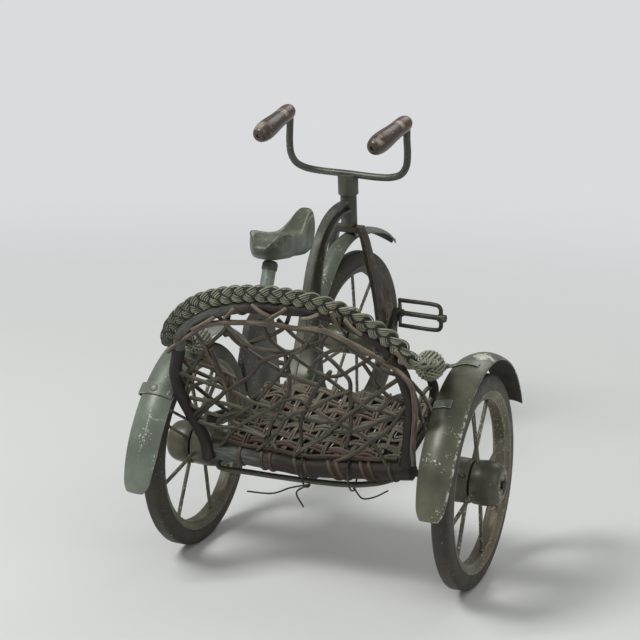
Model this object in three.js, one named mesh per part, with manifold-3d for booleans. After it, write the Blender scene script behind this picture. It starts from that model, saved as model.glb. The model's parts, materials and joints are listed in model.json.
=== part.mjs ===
// A small ornamental bicycle with a wicker sidecar on its right-hand side.
// Millimetres. +Y is forward, +X is to the right, +Z is up and the ground is z = 0. The part is
// drawn with x = 0 halfway between the rear wheels and moved at the end, so that the origin is
// on the ground under the bicycle's rear wheel.
import * as THREE from "three";
import { mergeVertices } from "three/addons/utils/BufferGeometryUtils.js";
import Module from "manifold-3d";

const wasm = await Module();
wasm.setup();

// Main sizes.
const clearance = 0.3;
const cutOverrun = 2;
const wheelRadius = 75;
const halfTrack = 107;
const wheelbase = 301;
const frontWheelRadius = 81;
const steeringLeanDegrees = 5;
const steeredDegrees = 6;

// Rear wheels: a tyre on a rim with wire spokes, on a barrel-shaped wooden hub.
const tyreDepth = 15;
const tyreWidth = 13;
const rimThickness = 2.4;
const rimWidth = 8;
const spokeRadius = 1.3;
const spokeCount = 8;
const spokeSides = 5;
const spokeDish = 3.4;
const spokeSeatDepth = 2.5;
const rearSpokeDegrees = 14;
const frontSpokeDegrees = 1;
const hubInnerLength = 27;
const hubOuterLength = 20.5;
const hubRadius = 15.8;
const grooveDepth = 4;
const grooveHalfWidth = 0.8;
const axleRadius = 2.6;
const axleNutRadius = 4.6;
const axleNutLength = 1.8;
const wheelSegments = 36;
const hubSegments = 16;
const roundSides = 12;

// Front wheel, cranks and pedals.
const frontTyreDepth = 16.5;
const frontHubRadius = 13;
const crankLength = 32;
const crankDegrees = 51;
const crankThickness = 5;
const crankWidth = 7;
const spindleRadius = 1.9;
const spindleNutRadius = 3.6;
const spindleNutLength = 2.6;
const pedalLength = 43;
const pedalHalfHeight = 11.8;
const pedalRodRadius = 1.9;
const pedalBossRadius = 3.6;
const pedalBossLength = 4;

// Fork, head and handlebar.
const bladeOffset = 29.5;
const bladeThickness = 4;
const bladeTopWidth = 9;
const bladeFootWidth = 14;
const crownHeight = 101.5;
const crownThickness = 5.5;
const crownHalfLength = 13.2;
const steererRadius = 4;
const headTubeRadius = 7.2;
const headTubeLength = 28;
const stemRadius = 9;
const stemLength = 18;
const barRadius = 3.1;
const barHalfWidth = 58;
const barRise = 51;
const barRollDegrees = 1.2;
const gripLength = 60;
const gripRadius = 8.6;
const gripDroopDegrees = 11;
const gripToeDegrees = 2.5;
const barStubLength = 34;

// Sheet-metal frame, saddle and fenders.
const strapThickness = 2.6;
const strapTopWidth = 11;
const strapFootWidth = 21;
const innerStrapWidth = 7;
const stayThickness = 3;
const stayHeight = 9;
const stayEndRadius = 6;
const mastThickness = 6;
const saddlePostRadius = 5.6;
const saddleLength = 101;
const saddleNoseGap = 4.7;
const saddleHalfWidth = 15.5;
const saddleDepth = 20;
const fenderGap = 13.5;
const fenderWidth = 24;
const fenderSheet = 1;
const fenderCrownDrop = 4;
const fenderFlare = 6;
const fenderFrontDegrees = 24;
const fenderRearDegrees = 178;
const leftFenderFrontDegrees = 50;
const leftFenderRearDegrees = 185;
const leftFenderLeanDegrees = 4;
const fenderStrapWidth = 9;
const fenderStrapSheet = 0.9;
const rightStrapDegrees = 128;
const leftStrapDegrees = 138;
const rivetRadius = 1.9;
const stayWireRadius = 1;
const chassisRodRadius = 2;
const tieWireRadius = 0.6;

// Wicker basket.
const backLeanDegrees = 21.8;
const railSetback = 30;
const railOffset = wheelRadius - railSetback;
const railAxleHeight = 11.6;
const railRadius = 6.9;
const basketSideGap = 18.5;
const backHeight = 141;
const braidRadius = 5.8;
const hoopRadius = 4.3;
const reedRadius = 1.35;
const reedSides = 4;
const knobRadius = 10;
const knobSetback = 37.5;
const knobFenderHeight = 1.5;
const backPostRadius = 4.6;
const armPostRadius = 3.4;
const sideRailRadius = 3.2;
const frontRailRadius = 3.2;
const seatFrontReach = 37.5;
const seatAxleHeight = 38;
const seatThickness = 3.6;
const wrapRadius = 5.2;
const wrapLength = 8;

// Colours of the real materials, seen in soft light.
const looks = {
  sage: { color: 0x8d9380, roughness: 0.62, metalness: 0.25 },
  olive: { color: 0x6f7460, roughness: 0.6, metalness: 0.25 },
  darkMetal: { color: 0x55554d, roughness: 0.6, metalness: 0.35 },
  tyre: { color: 0x5b5247, roughness: 0.85, metalness: 0 },
  wood: { color: 0x6b6558, roughness: 0.75, metalness: 0 },
  grip: { color: 0x6a5a4e, roughness: 0.5, metalness: 0 },
  leather: { color: 0x7a7d63, roughness: 0.6, metalness: 0 },
  bark: { color: 0x5c4d45, roughness: 0.85, metalness: 0 },
  reed: { color: 0x6a6156, roughness: 0.8, metalness: 0 },
  straw: { color: 0xaeb095, roughness: 0.85, metalness: 0 },
  splint: { color: 0xa39a7c, roughness: 0.85, metalness: 0 },
  wire: { color: 0x3d4144, roughness: 0.5, metalness: 0.6 },
};

const railHeight = wheelRadius + railAxleHeight;
const fenderRadius = wheelRadius + fenderGap;
const knobHeight = wheelRadius + fenderRadius + knobFenderHeight;
const seatFrontHeight = wheelRadius + seatAxleHeight;
const basketHalfWidth = halfTrack - basketSideGap;

const object = new THREE.Group();
const middleShare = 0.5;
const quarterTurn = Math.PI / 2;
const radians = THREE.MathUtils.degToRad;

function at(x, y, z) {
  return new THREE.Vector3(x, y, z);
}

// Bare closed geometry: positions only, shared corners merged, no flat slivers, faces outward.
function closed(geometry) {
  const bare = geometry.clone();
  bare.deleteAttribute("normal");
  bare.deleteAttribute("uv");
  const merged = mergeVertices(bare);
  const corners = merged.index.array;
  const kept = [];
  const [a, b, c] = [at(0, 0, 0), at(0, 0, 0), at(0, 0, 0)];
  let volume = 0;
  for (let i = 0; i < corners.length; i += 3) {
    const [p, q, r] = [corners[i], corners[i + 1], corners[i + 2]];
    if (p === q || q === r || r === p) continue;
    kept.push([p, q, r]);
    a.fromBufferAttribute(merged.attributes.position, p);
    b.fromBufferAttribute(merged.attributes.position, q);
    c.fromBufferAttribute(merged.attributes.position, r);
    volume += a.dot(b.cross(c));
  }
  merged.setIndex(kept.flatMap(([p, q, r]) => (volume < 0 ? [p, r, q] : [p, q, r])));
  return merged;
}

function solid(geometry) {
  const shape = closed(geometry);
  return new wasm.Manifold(
    new wasm.Mesh({
      numProp: 3,
      vertProperties: new Float32Array(shape.attributes.position.array),
      triVerts: new Uint32Array(shape.index.array),
    }),
  );
}

function geometryOf(manifold) {
  const mesh = manifold.getMesh();
  const geometry = new THREE.BufferGeometry();
  geometry.setAttribute("position", new THREE.BufferAttribute(mesh.vertProperties, 3));
  geometry.setIndex(new THREE.BufferAttribute(mesh.triVerts, 1));
  return geometry;
}

function join(...geometries) {
  const [first, ...rest] = geometries.map(solid);
  return geometryOf(rest.reduce((sum, next) => sum.add(next), first));
}

function cut(geometry, ...tools) {
  return geometryOf(tools.map(solid).reduce((left, tool) => left.subtract(tool), solid(geometry)));
}

function put(name, geometry, look) {
  const mesh = new THREE.Mesh(closed(geometry), new THREE.MeshStandardMaterial(looks[look]));
  mesh.name = name;
  object.add(mesh);
}

// A round rod along a line of points.
function rod(points, radius, sides, steps) {
  const corners = Array.from({ length: sides }, (_, i) => {
    const turn = (2 * Math.PI * (i + middleShare)) / sides;
    return new THREE.Vector2(radius * Math.cos(turn), radius * Math.sin(turn));
  });
  const straight = points.length === 2;
  const path = straight
    ? new THREE.LineCurve3(points[0], points[1])
    : new THREE.CatmullRomCurve3(points, false, "centripetal");
  const settings = { steps: straight ? 1 : steps, extrudePath: path, bevelEnabled: false };
  return new THREE.ExtrudeGeometry(new THREE.Shape(corners), settings);
}

// A turned piece about the X axis from pairs of place along the axis and radius.
function turned(profile, segments) {
  const points = profile.map(([along, radius]) => new THREE.Vector2(radius, along));
  return new THREE.LatheGeometry(points, segments).rotateZ(-quarterTurn);
}

function ring(profile, segments) {
  return turned([...profile, profile[0]], segments);
}

// A block of cells, each corner moved to its place: columns across, rows along, layers deep.
function formed(columns, rows, layers, place) {
  const block = new THREE.BoxGeometry(1, 1, 1, columns, rows, layers);
  const corners = block.attributes.position;
  for (let i = 0; i < corners.count; i += 1) {
    const across = corners.getX(i) + middleShare;
    const along = corners.getY(i) + middleShare;
    const deep = corners.getZ(i) + middleShare;
    const p = place(across, along, deep);
    corners.setXYZ(i, p.x, p.y, p.z);
  }
  return block;
}

// Smooth values between evenly spaced rows of a table.
function blend(rows, share) {
  const last = rows.length - 1;
  const whole = Math.min(Math.floor(share * last), last - 1);
  const t = share * last - whole;
  const row = (i) => rows[Math.min(Math.max(i, 0), last)];
  return rows[0].map((_, k) => {
    const [p, q, r, s] = [row(whole - 1)[k], row(whole)[k], row(whole + 1)[k], row(whole + 2)[k]];
    const slopeIn = (r - p) / 2;
    const slopeOut = (s - q) / 2;
    const bend = 2 * (q - r) + slopeIn + slopeOut;
    return q + t * (slopeIn + t * (r - q - slopeIn - bend + t * bend));
  });
}

// A sheet bent along a side view: rows of [y, z, half width], thickness to the left of travel.
function bentSheet(rows, thickness, columns, steps, crownDrop) {
  return formed(columns, steps, 1, (across, along, deep) => {
    const [y, z, halfWidth] = blend(rows, along);
    const step = middleShare / steps;
    const before = blend(rows, Math.max(along - step, 0));
    const after = blend(rows, Math.min(along + step, 1));
    const run = new THREE.Vector2(after[0] - before[0], after[1] - before[1]).normalize();
    const side = 2 * across - 1;
    const lift = thickness * (deep - middleShare) - crownDrop * side * side;
    return at(side * halfWidth, y - run.y * lift, z + run.x * lift);
  });
}

// Rear wheels, built at the origin with the axle along X.
const tyreInnerRadius = wheelRadius - tyreDepth;
const tyreOutlineShares = [
  [-0.34, 0], [0.34, 0], [0.5, 0.24], [0.48, 0.74], [0.28, 1], [-0.28, 1], [-0.48, 0.74], [-0.5, 0.24],
];

// The flats of the tread, not its corners, are at the wheel's radius, so that a tyre rests on one.
const facetTurn = Math.PI / wheelSegments;

function tyre(radius, depth) {
  const inner = radius - depth;
  const tread = radius / Math.cos(facetTurn) - inner;
  const profile = tyreOutlineShares.map(([across, out]) => [across * tyreWidth, inner + out * tread]);
  return ring(profile, wheelSegments);
}

// Spokes lean by turns to either side of the groove and end in holes in the hub.
const rimSeatShare = 0.25;

function spokes(rimOuterRadius, barrelRadius, firstDegrees, spare) {
  return Array.from({ length: spokeCount }, (_, i) => {
    const turn = radians(firstDegrees) + (2 * Math.PI * i) / spokeCount;
    const side = i % 2 ? -1 : 1;
    const outward = at(0, Math.cos(turn), Math.sin(turn));
    const inside = outward.clone().multiplyScalar(barrelRadius - spokeSeatDepth - spare);
    const outside = outward.clone().multiplyScalar(rimOuterRadius - rimThickness / 2);
    const ends = [inside.setX(side * spokeDish), outside.setX(side * rimSeatShare * rimWidth)];
    return rod(ends, spokeRadius + spare, spokeSides, 1);
  });
}

function rimAndSpokes(rimOuterRadius, barrelRadius, firstDegrees) {
  const halfRim = rimWidth / 2;
  const rimInner = rimOuterRadius - rimThickness;
  const rim = ring(
    [[-halfRim, rimInner], [halfRim, rimInner], [halfRim, rimOuterRadius], [-halfRim, rimOuterRadius]],
    wheelSegments,
  );
  return join(rim, ...spokes(rimOuterRadius, barrelRadius, firstDegrees, 0));
}

const barrelShares = [[0.4, 1], [0.7, 0.96], [0.9, 0.84], [1, 0.7]];
const barrelRootShare = 0.97;

function hub(innerLength, outerLength, radius, rimOuterRadius, firstDegrees) {
  const half = (length) => [
    [grooveHalfWidth, radius - grooveDepth],
    [grooveHalfWidth, barrelRootShare * radius],
    ...barrelShares.map(([along, out]) => [along * length, out * radius]),
    [length, axleRadius + clearance],
  ];
  const inner = half(innerLength).map(([along, out]) => [-along, out]).reverse();
  const barrel = ring([...inner, ...half(outerLength)], hubSegments);
  return cut(barrel, ...spokes(rimOuterRadius, radius, firstDegrees, clearance));
}

const rearRimRadius = tyreInnerRadius - clearance;
for (const [side, sign] of [["left", -1], ["right", 1]]) {
  const place = (geometry) =>
    geometry.rotateX(facetTurn).scale(sign, 1, 1).translate(sign * halfTrack, 0, wheelRadius);
  put(`rear_tyre_${side}`, place(tyre(wheelRadius, tyreDepth)), "tyre");
  const rim = rimAndSpokes(rearRimRadius, hubRadius, rearSpokeDegrees);
  put(`rear_rim_and_spokes_${side}`, place(rim), "sage");
  const barrel = hub(hubInnerLength, hubOuterLength, hubRadius, rearRimRadius, rearSpokeDegrees);
  put(`rear_hub_${side}`, place(barrel), "wood");
}

// Rear axle: one bar through both hubs, with a low domed nut at each end.
const rightAxleEnd = halfTrack + hubOuterLength + clearance;
const leftAxleEnd = rightAxleEnd + stayThickness + clearance;
const axleEnds = [at(-leftAxleEnd, 0, wheelRadius), at(rightAxleEnd, 0, wheelRadius)];
const axleBar = (radius) => rod(axleEnds, radius, roundSides, 1);
const fatAxle = () => axleBar(axleRadius + clearance);
put("axle_bar", axleBar(axleRadius), "darkMetal");
const nutShares = [[0, 0], [0, 0.8], [0.12, 1], [0.6, 0.94], [0.88, 0.66], [1, 0.3], [1, 0]];
for (const [side, end] of [["left", -leftAxleEnd], ["right", rightAxleEnd]]) {
  const sign = Math.sign(end);
  const profile = nutShares.map(([along, out]) => [along * axleNutLength, out * axleNutRadius]);
  const nut = turned(profile, hubSegments).scale(sign, 1, 1);
  put(`axle_nut_${side}`, nut.translate(end + sign * clearance, 0, wheelRadius), "darkMetal");
}

// Rear fenders: crowned sheet about each wheel, with a riveted strap over it.
function fenderPoint(degrees, side, lift) {
  const turn = radians(degrees);
  const radius = fenderRadius + lift - fenderCrownDrop * Math.min(side * side, 1);
  return at((side * fenderWidth) / 2, radius * Math.cos(turn), wheelRadius + radius * Math.sin(turn));
}

const fenderColumns = 4;
const fenderRows = 20;
const endNarrowShare = 0.45;
const endStartShare = 0.88;
const flareStartShare = 0.7;
const frontWidthShare = 0.8;
const taperShare = 0.5;
const risen = (start, along) => Math.max((along - start) / (1 - start), 0) ** 2;

function rearFender(frontDegrees, rearDegrees) {
  return formed(fenderColumns, fenderRows, 1, (across, along, deep) => {
    const side = 2 * across - 1;
    const degrees = frontDegrees + (rearDegrees - frontDegrees) * along;
    const taper = frontWidthShare + (1 - frontWidthShare) * Math.min(along / taperShare, 1);
    const width = taper * (1 - endNarrowShare * risen(endStartShare, along));
    const lift = fenderSheet * deep + fenderFlare * risen(flareStartShare, along);
    return fenderPoint(degrees, side * width, lift);
  });
}

const strapSpanDegrees = THREE.MathUtils.radToDeg(fenderStrapWidth / fenderRadius);
const strapColumns = 4;

function fenderStrap(degrees, innerSide, outerSide) {
  const seat = fenderSheet + clearance;
  const strap = formed(strapColumns, 2, 1, (across, along, deep) => {
    const side = innerSide + (outerSide - innerSide) * across;
    const turned = degrees + strapSpanDegrees * (along - middleShare);
    return fenderPoint(turned, side, seat + fenderStrapSheet * deep);
  });
  const middle = (innerSide + outerSide) / 2;
  const foot = fenderPoint(degrees, middle, seat + fenderStrapSheet / 2);
  const head = fenderPoint(degrees, middle, seat + fenderStrapSheet + rivetRadius / 2);
  return join(strap, rod([foot, head], rivetRadius, roundSides, 1));
}

const stayBelowDegrees = 8;
const stayTops = {};
const strapSpanShares = { left: [-0.95, 1.3], right: [-1, 0.1] };
const fenderSides = [
  ["left", -1, leftFenderFrontDegrees, leftFenderRearDegrees, leftStrapDegrees, leftFenderLeanDegrees],
  ["right", 1, fenderFrontDegrees, fenderRearDegrees, rightStrapDegrees, 0],
];
for (const [side, sign, frontDegrees, rearDegrees, strapDegrees, leanDegrees] of fenderSides) {
  const leaning = new THREE.Matrix4()
    .makeTranslation(sign * halfTrack, 0, wheelRadius)
    .multiply(new THREE.Matrix4().makeRotationY(radians(leanDegrees)))
    .multiply(new THREE.Matrix4().makeTranslation(0, 0, -wheelRadius))
    .scale(at(sign, 1, 1));
  const place = (geometry) => geometry.applyMatrix4(leaning);
  put(`fender_${side}`, place(rearFender(frontDegrees, rearDegrees)), "sage");
  put(`fender_strap_${side}`, place(fenderStrap(strapDegrees, ...strapSpanShares[side])), "sage");
  stayTops[side] = fenderPoint(strapDegrees + stayBelowDegrees, -1, fenderSheet)
    .sub(at(stayWireRadius + clearance, 0, 0))
    .applyMatrix4(leaning);
}

// Steering axis: through the front hub, leaning back. Pieces that steer are built straight ahead
// in its own directions and then turned with it.
const steeringLean = radians(steeringLeanDegrees);
const frontHub = at(-halfTrack, wheelbase, frontWheelRadius);
const forward = at(0, Math.cos(steeringLean), Math.sin(steeringLean));
const upward = at(0, -Math.sin(steeringLean), Math.cos(steeringLean));
const headFrame = new THREE.Matrix4().makeBasis(at(1, 0, 0), forward, upward).setPosition(frontHub);
const steeredFrame = headFrame.clone().multiply(
  new THREE.Matrix4().makeRotationZ(-radians(steeredDegrees)),
);
const steered = (geometry) => geometry.applyMatrix4(steeredFrame);

// Heights along the steering axis, counted from the front hub.
const crownTop = crownHeight + crownThickness;
const headLow = crownTop + clearance;
const headHigh = headLow + headTubeLength;
const stemLow = headHigh + clearance;
const barHeight = stemLow + stemLength;
const upright = (geometry) => geometry.rotateY(-quarterTurn);

// Head tube: open at both ends for the steerer.
const headBore = steererRadius + clearance;
const headTube = ring(
  [[headLow, headBore], [headHigh, headBore], [headHigh, headTubeRadius], [headLow, headTubeRadius]],
  hubSegments,
);
put("head_tube", upright(headTube).applyMatrix4(headFrame), "olive");

// Fork: crown, two flat blades that spread past the fender, and the steerer above.
const bladeShares = [
  [1.0, 0.4], [0.93, 0.5], [0.86, 0.56], [0.78, 0.62], [0.66, 0.72], [0.5, 0.86], [0.25, 0.98], [0, 1],
];
const bladeFootDrop = 9;
const bladeSteps = 14;

function blade(sign) {
  return formed(1, bladeSteps, 1, (across, along, deep) => {
    const [up, out] = blend(bladeShares, along);
    const width = bladeTopWidth + (bladeFootWidth - bladeTopWidth) * along;
    const drop = bladeFootDrop * Math.max(1 - up / bladeShares[6][0], 0);
    const low = up * (crownHeight + crownThickness / 2) - drop;
    const offset = out * bladeOffset + bladeThickness * (across - middleShare);
    return at(sign * offset, width * (deep - middleShare), low);
  });
}

const crown = formed(2, 1, 1, (across, along, deep) =>
  at(
    (2 * across - 1) * crownHalfLength,
    bladeTopWidth * (along - middleShare),
    crownHeight + crownThickness * deep,
  ),
);
const steererTop = barHeight - barRadius - cutOverrun;
const steererEnds = [at(0, 0, crownHeight + clearance), at(0, 0, steererTop)];
const steerer = rod(steererEnds, steererRadius, roundSides, 1);
const frontAxle = (radius, halfLength) =>
  rod([at(-halfLength, 0, 0), at(halfLength, 0, 0)], radius, roundSides, 1);
const bladeFoot = bladeOffset + bladeThickness / 2;
const forkBore = frontAxle(axleRadius + clearance, bladeFoot + cutOverrun);
put("fork", steered(cut(join(crown, blade(-1), blade(1), steerer), forkBore)), "darkMetal");

// Handlebar: a cross bar with rounded corners, two risers and two stubs inside the grips.
const barShares = [
  [0, 0], [0.55, 0], [0.76, 0.03], [0.9, 0.1], [0.98, 0.24], [1, 0.45], [0.99, 0.7], [0.985, 0.9],
];
const barBendShare = 0.05;
const barSteps = 30;
const droop = radians(gripDroopDegrees);
const toe = radians(gripToeDegrees);
const gripRun = at(
  -Math.sin(toe) * Math.cos(droop),
  -Math.cos(toe) * Math.cos(droop),
  -Math.sin(droop),
);
const rolled = (geometry) =>
  geometry.translate(0, 0, -barHeight).rotateY(radians(barRollDegrees)).translate(0, 0, barHeight);

function barPoints() {
  const half = barShares.map(([out, up]) => at(out * barHalfWidth, 0, barHeight + up * barRise));
  const bendTop = at(half[half.length - 1].x, 0, barHeight + barRise);
  const bend = bendTop.clone().addScaledVector(gripRun, barBendShare * gripLength);
  const stub = bendTop.clone().addScaledVector(gripRun, barStubLength);
  const right = [...half, bend, bend.clone().lerp(stub, middleShare), stub];
  const left = right.slice(1).map((p) => at(-p.x, p.y, p.z)).reverse();
  return [...left, ...right];
}

const bar = (radius) => rod(barPoints(), radius, 8, barSteps);
put("handlebar", steered(rolled(bar(barRadius))), "sage");

const stemProfile = [[stemLow, 0], [stemLow, stemRadius], [barHeight, stemRadius], [barHeight, 0]];
const stem = cut(
  upright(turned(stemProfile, hubSegments)),
  rod([at(0, 0, stemLow - cutOverrun), at(0, 0, steererTop + clearance)], headBore, roundSides, 1),
  rolled(
    rod(
      [at(-barHalfWidth / 2, 0, barHeight), at(barHalfWidth / 2, 0, barHeight)],
      barRadius + clearance,
      8,
      1,
    ),
  ),
);
put("stem", steered(stem), "sage");

// Grips: turned wooden barrels that hook over the top of each riser.
const gripShares = [
  [0, 0], [0, 0.5], [0.03, 0.72], [0.1, 0.84], [0.2, 0.85], [0.32, 0.84],
  [0.47, 0.89], [0.64, 0.98], [0.78, 1], [0.89, 0.9], [0.96, 0.66], [1, 0.34], [1, 0],
];
const gripNoseShare = 0.02;
for (const [side, sign] of [["left", -1], ["right", 1]]) {
  const profile = gripShares.map(([along, out]) => [along * gripLength, out * gripRadius]);
  const grip = turned(profile, roundSides)
    .translate(-gripNoseShare * gripLength, 0, 0)
    .rotateZ(-quarterTurn)
    .rotateX(droop)
    .rotateZ(-sign * toe)
    .translate(sign * barShares.at(-1)[0] * barHalfWidth, 0, barHeight + barRise);
  put(`grip_${side}`, steered(rolled(cut(grip, bar(barRadius + clearance)))), "grip");
}

// Front fender: a narrow sheet under the crown that flares to a point ahead of the wheel.
const frontFenderShares = [
  [-0.798, 0.444, 0.075], [-0.698, 0.569, 0.1], [-0.552, 0.698, 0.095], [-0.406, 0.828, 0.09],
  [-0.232, 0.939, 0.085], [-0.01, 0.995, 0.08], [0.22, 0.982, 0.095], [0.46, 0.925, 0.11],
  [0.67, 0.83, 0.075], [0.86, 0.71, 0.02],
];
const frontFenderRows = 18;
const frontFenderTop = crownHeight - clearance - fenderSheet / 2;
const frontFenderTable = frontFenderShares.map(([along, up, half]) => [
  along * frontFenderTop,
  up * frontFenderTop,
  half * frontFenderTop,
]);
put(
  "front_fender",
  steered(bentSheet(frontFenderTable, fenderSheet, fenderColumns, frontFenderRows, fenderCrownDrop)),
  "sage",
);

// Front wheel: its hub turns with the cranks, as on a velocipede.
const frontHubHalf = bladeOffset - bladeThickness / 2 - clearance;
const frontTyreInner = frontWheelRadius - frontTyreDepth;
put("front_tyre", steered(tyre(frontWheelRadius, frontTyreDepth)), "tyre");
const frontRimRadius = frontTyreInner - clearance;
const frontRim = rimAndSpokes(frontRimRadius, frontHubRadius, frontSpokeDegrees);
put("front_rim_and_spokes", steered(frontRim), "sage");
const frontBarrel = hub(frontHubHalf, frontHubHalf, frontHubRadius, frontRimRadius, frontSpokeDegrees);
put("front_hub", steered(frontBarrel), "wood");

// Cranks: each has half the front axle, an arm and the spindle that its pedal spins on.
const crankInner = bladeFoot + clearance;
const crankOuter = crankInner + crankThickness;
const pedalInner = crankOuter + clearance;
const pedalOuter = pedalInner + pedalLength;
const crankTurn = radians(crankDegrees);
const pedalCentre = at(0, crankLength * Math.cos(crankTurn), crankLength * Math.sin(crankTurn));
const armShares = [[-0.5, 0.3], [-0.42, 0.5], [0.4, 0.5], [0.5, 0.3]];

function crank() {
  const armSpan = crankLength + crankWidth;
  const outline = [...armShares, ...armShares.map(([a, b]) => [a, -b]).reverse()];
  const arm = new THREE.ExtrudeGeometry(
    new THREE.Shape(
      outline.map(([a, b]) => new THREE.Vector2(a * armSpan + crankLength / 2, b * crankWidth)),
    ),
    { depth: crankThickness, bevelEnabled: false, steps: 1 },
  )
    .applyMatrix4(new THREE.Matrix4().makeBasis(at(0, 1, 0), at(0, 0, 1), at(1, 0, 0)))
    .rotateX(crankTurn)
    .translate(crankInner, 0, 0);
  const axleHalf = [at(clearance / 2, 0, 0), at(crankOuter - clearance, 0, 0)];
  const halfAxle = rod(axleHalf, axleRadius, roundSides, 1);
  const y = pedalCentre.y;
  const z = pedalCentre.z;
  const nutInner = pedalOuter + clearance;
  const nutOuter = nutInner + spindleNutLength;
  const spindle = rod([at(crankOuter - clearance, y, z), at(nutOuter, y, z)], spindleRadius, 8, 1);
  const nut = rod([at(nutInner, y, z), at(nutOuter, y, z)], spindleNutRadius, 6, 1);
  return join(arm, halfAxle, spindle, nut);
}

// Pedals: an open cage of two rods between an inner plate and a rounded outer bracket.
const cageShares = [[0, 1], [0.84, 1], [0.95, 0.93], [1, 0.7], [1, 0]];

function pedal() {
  const span = pedalOuter - pedalInner - pedalRodRadius;
  const half = cageShares.map(([along, up]) => at(pedalInner + along * span, 0, up * pedalHalfHeight));
  const cage = rod(
    [...half, ...half.slice(0, -1).map((p) => at(p.x, 0, -p.z)).reverse()],
    pedalRodRadius,
    6,
    14,
  );
  const plateEnd = pedalInner + pedalBossLength / 2;
  const plate = formed(1, 1, 1, (across, along, deep) =>
    at(
      pedalInner + (plateEnd - pedalInner) * across,
      2 * pedalRodRadius * (along - middleShare),
      2 * (pedalHalfHeight + pedalRodRadius) * (deep - middleShare),
    ),
  );
  const bosses = [pedalInner, pedalOuter - pedalBossLength].map((start) =>
    rod([at(start, 0, 0), at(start + pedalBossLength, 0, 0)], pedalBossRadius, 10, 1),
  );
  const bore = rod(
    [at(pedalInner - cutOverrun, 0, 0), at(pedalOuter + cutOverrun, 0, 0)],
    spindleRadius + clearance,
    8,
    1,
  );
  return cut(join(cage, plate, ...bosses), bore).translate(0, pedalCentre.y, pedalCentre.z);
}

for (const [side, sign] of [["right", 1], ["left", -1]]) {
  const place = (geometry) => steered(geometry.scale(sign, sign, sign));
  put(`crank_${side}`, place(crank()), "darkMetal");
  put(`pedal_${side}`, place(pedal()), "darkMetal");
}

// Frame of the bicycle, in its plane. Rows begin with a share of the way from the rear tyre to the
// front one, or, over 1, from there on to the head. Then comes a share of the head's height.
const headMiddle = frontHub.clone().addScaledVector(upward, (headLow + headHigh) / 2);
const fatHeadRadius = headTubeRadius + clearance;
const fatHeadProfile = [[headLow, 0], [headLow, fatHeadRadius], [headHigh, fatHeadRadius], [headHigh, 0]];
const fatHead = () => upright(turned(fatHeadProfile, hubSegments)).applyMatrix4(headFrame);
const frontTyreBack = wheelbase - frontWheelRadius;

function frameY(share) {
  const back = wheelRadius + Math.min(share, 1) * (frontTyreBack - wheelRadius);
  return back + Math.max(share - 1, 0) * (headMiddle.y - frontTyreBack);
}

const bicyclePlane = (geometry) => geometry.translate(-halfTrack, 0, 0);
const strapEndShare = 0.62;
const mainStrapShares = [
  [2, 1.0, 0.5], [1.67, 1.0, 0.5], [1.3815, 0.97, 0.56], [1.1341, 0.915, 0.64],
  [0.9749, 0.82, 0.72], [0.9249, 0.7, 0.82], [0.8949, 0.565, 0.92], [0.8547, 0.44, 1],
  [0.7446, 0.355, 1], [0.5744, 0.33, 0.9], [0.3942, 0.335, strapEndShare], [0.2038, 0.364, strapEndShare],
];
const innerStrapShares = [
  [2, 1.04, 1], [1.67, 1.035, 1], [1.3815, 1.01, 1], [1.1341, 0.96, 1],
  [0.965, 0.88, 1], [0.8849, 0.78, 1], [0.8247, 0.67, 1], [0.7647, 0.56, 1],
  [0.6646, 0.43, 1], [0.5543, 0.33, 1],
];
const frameSteps = 22;

function framePath(shares, width) {
  return shares.map(([y, z, half]) => [frameY(y), z * headMiddle.z, (half * width) / 2]);
}

const mainStrap = (spare) =>
  bentSheet(framePath(mainStrapShares, strapFootWidth), strapThickness + 2 * spare, 2, frameSteps, 0);
put("frame_main_strap", cut(bicyclePlane(mainStrap(0)), fatHead()), "olive");
const innerPath = framePath(innerStrapShares, innerStrapWidth);
const innerStrap = bentSheet(innerPath, strapThickness, 1, frameSteps, 0);
put(
  "frame_inner_strap",
  cut(bicyclePlane(innerStrap), fatHead(), bicyclePlane(mainStrap(clearance))),
  "olive",
);

// Rear stays: a flat strip each side of the wheel, from the strap's end to the axle.
const strapEnd = framePath(mainStrapShares, strapFootWidth).at(-1);
const stayStart = strapEnd[2] + clearance + stayThickness / 2;
const stayOut = clearance + stayThickness / 2;
const stayEnds = { left: hubOuterLength + stayOut, right: hubInnerLength + stayOut };
const stayShares = [
  [1.06, 0], [1, 0], [0.9, 0.06], [0.78, 0.28], [0.64, 0.6], [0.48, 0.88], [0.3, 1], [0, 1],
];
const stayHighShare = 0.96;
const staySteps = 16;

function rearStay(sign, stayEnd) {
  const strip = formed(1, staySteps, 1, (across, along, deep) => {
    const [reach, spread] = blend(stayShares, along);
    const drop = strapEnd[1] + (wheelRadius - strapEnd[1]) * (1 - Math.min(reach, stayHighShare));
    const x = stayStart + (stayEnd - stayStart) * spread + stayThickness * (across - middleShare);
    return at(sign * x, reach * strapEnd[0], drop + stayHeight * (deep - middleShare));
  });
  const inside = sign * (stayEnd - stayThickness / 2);
  const outside = sign * (stayEnd + stayThickness / 2);
  const eye = rod([at(inside, 0, wheelRadius), at(outside, 0, wheelRadius)], stayEndRadius, roundSides, 1);
  return cut(bicyclePlane(join(strip, eye)), fatAxle());
}

put("rear_stay_left", rearStay(-1, stayEnds.left), "darkMetal");
put("rear_stay_right", rearStay(1, stayEnds.right), "darkMetal");

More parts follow.
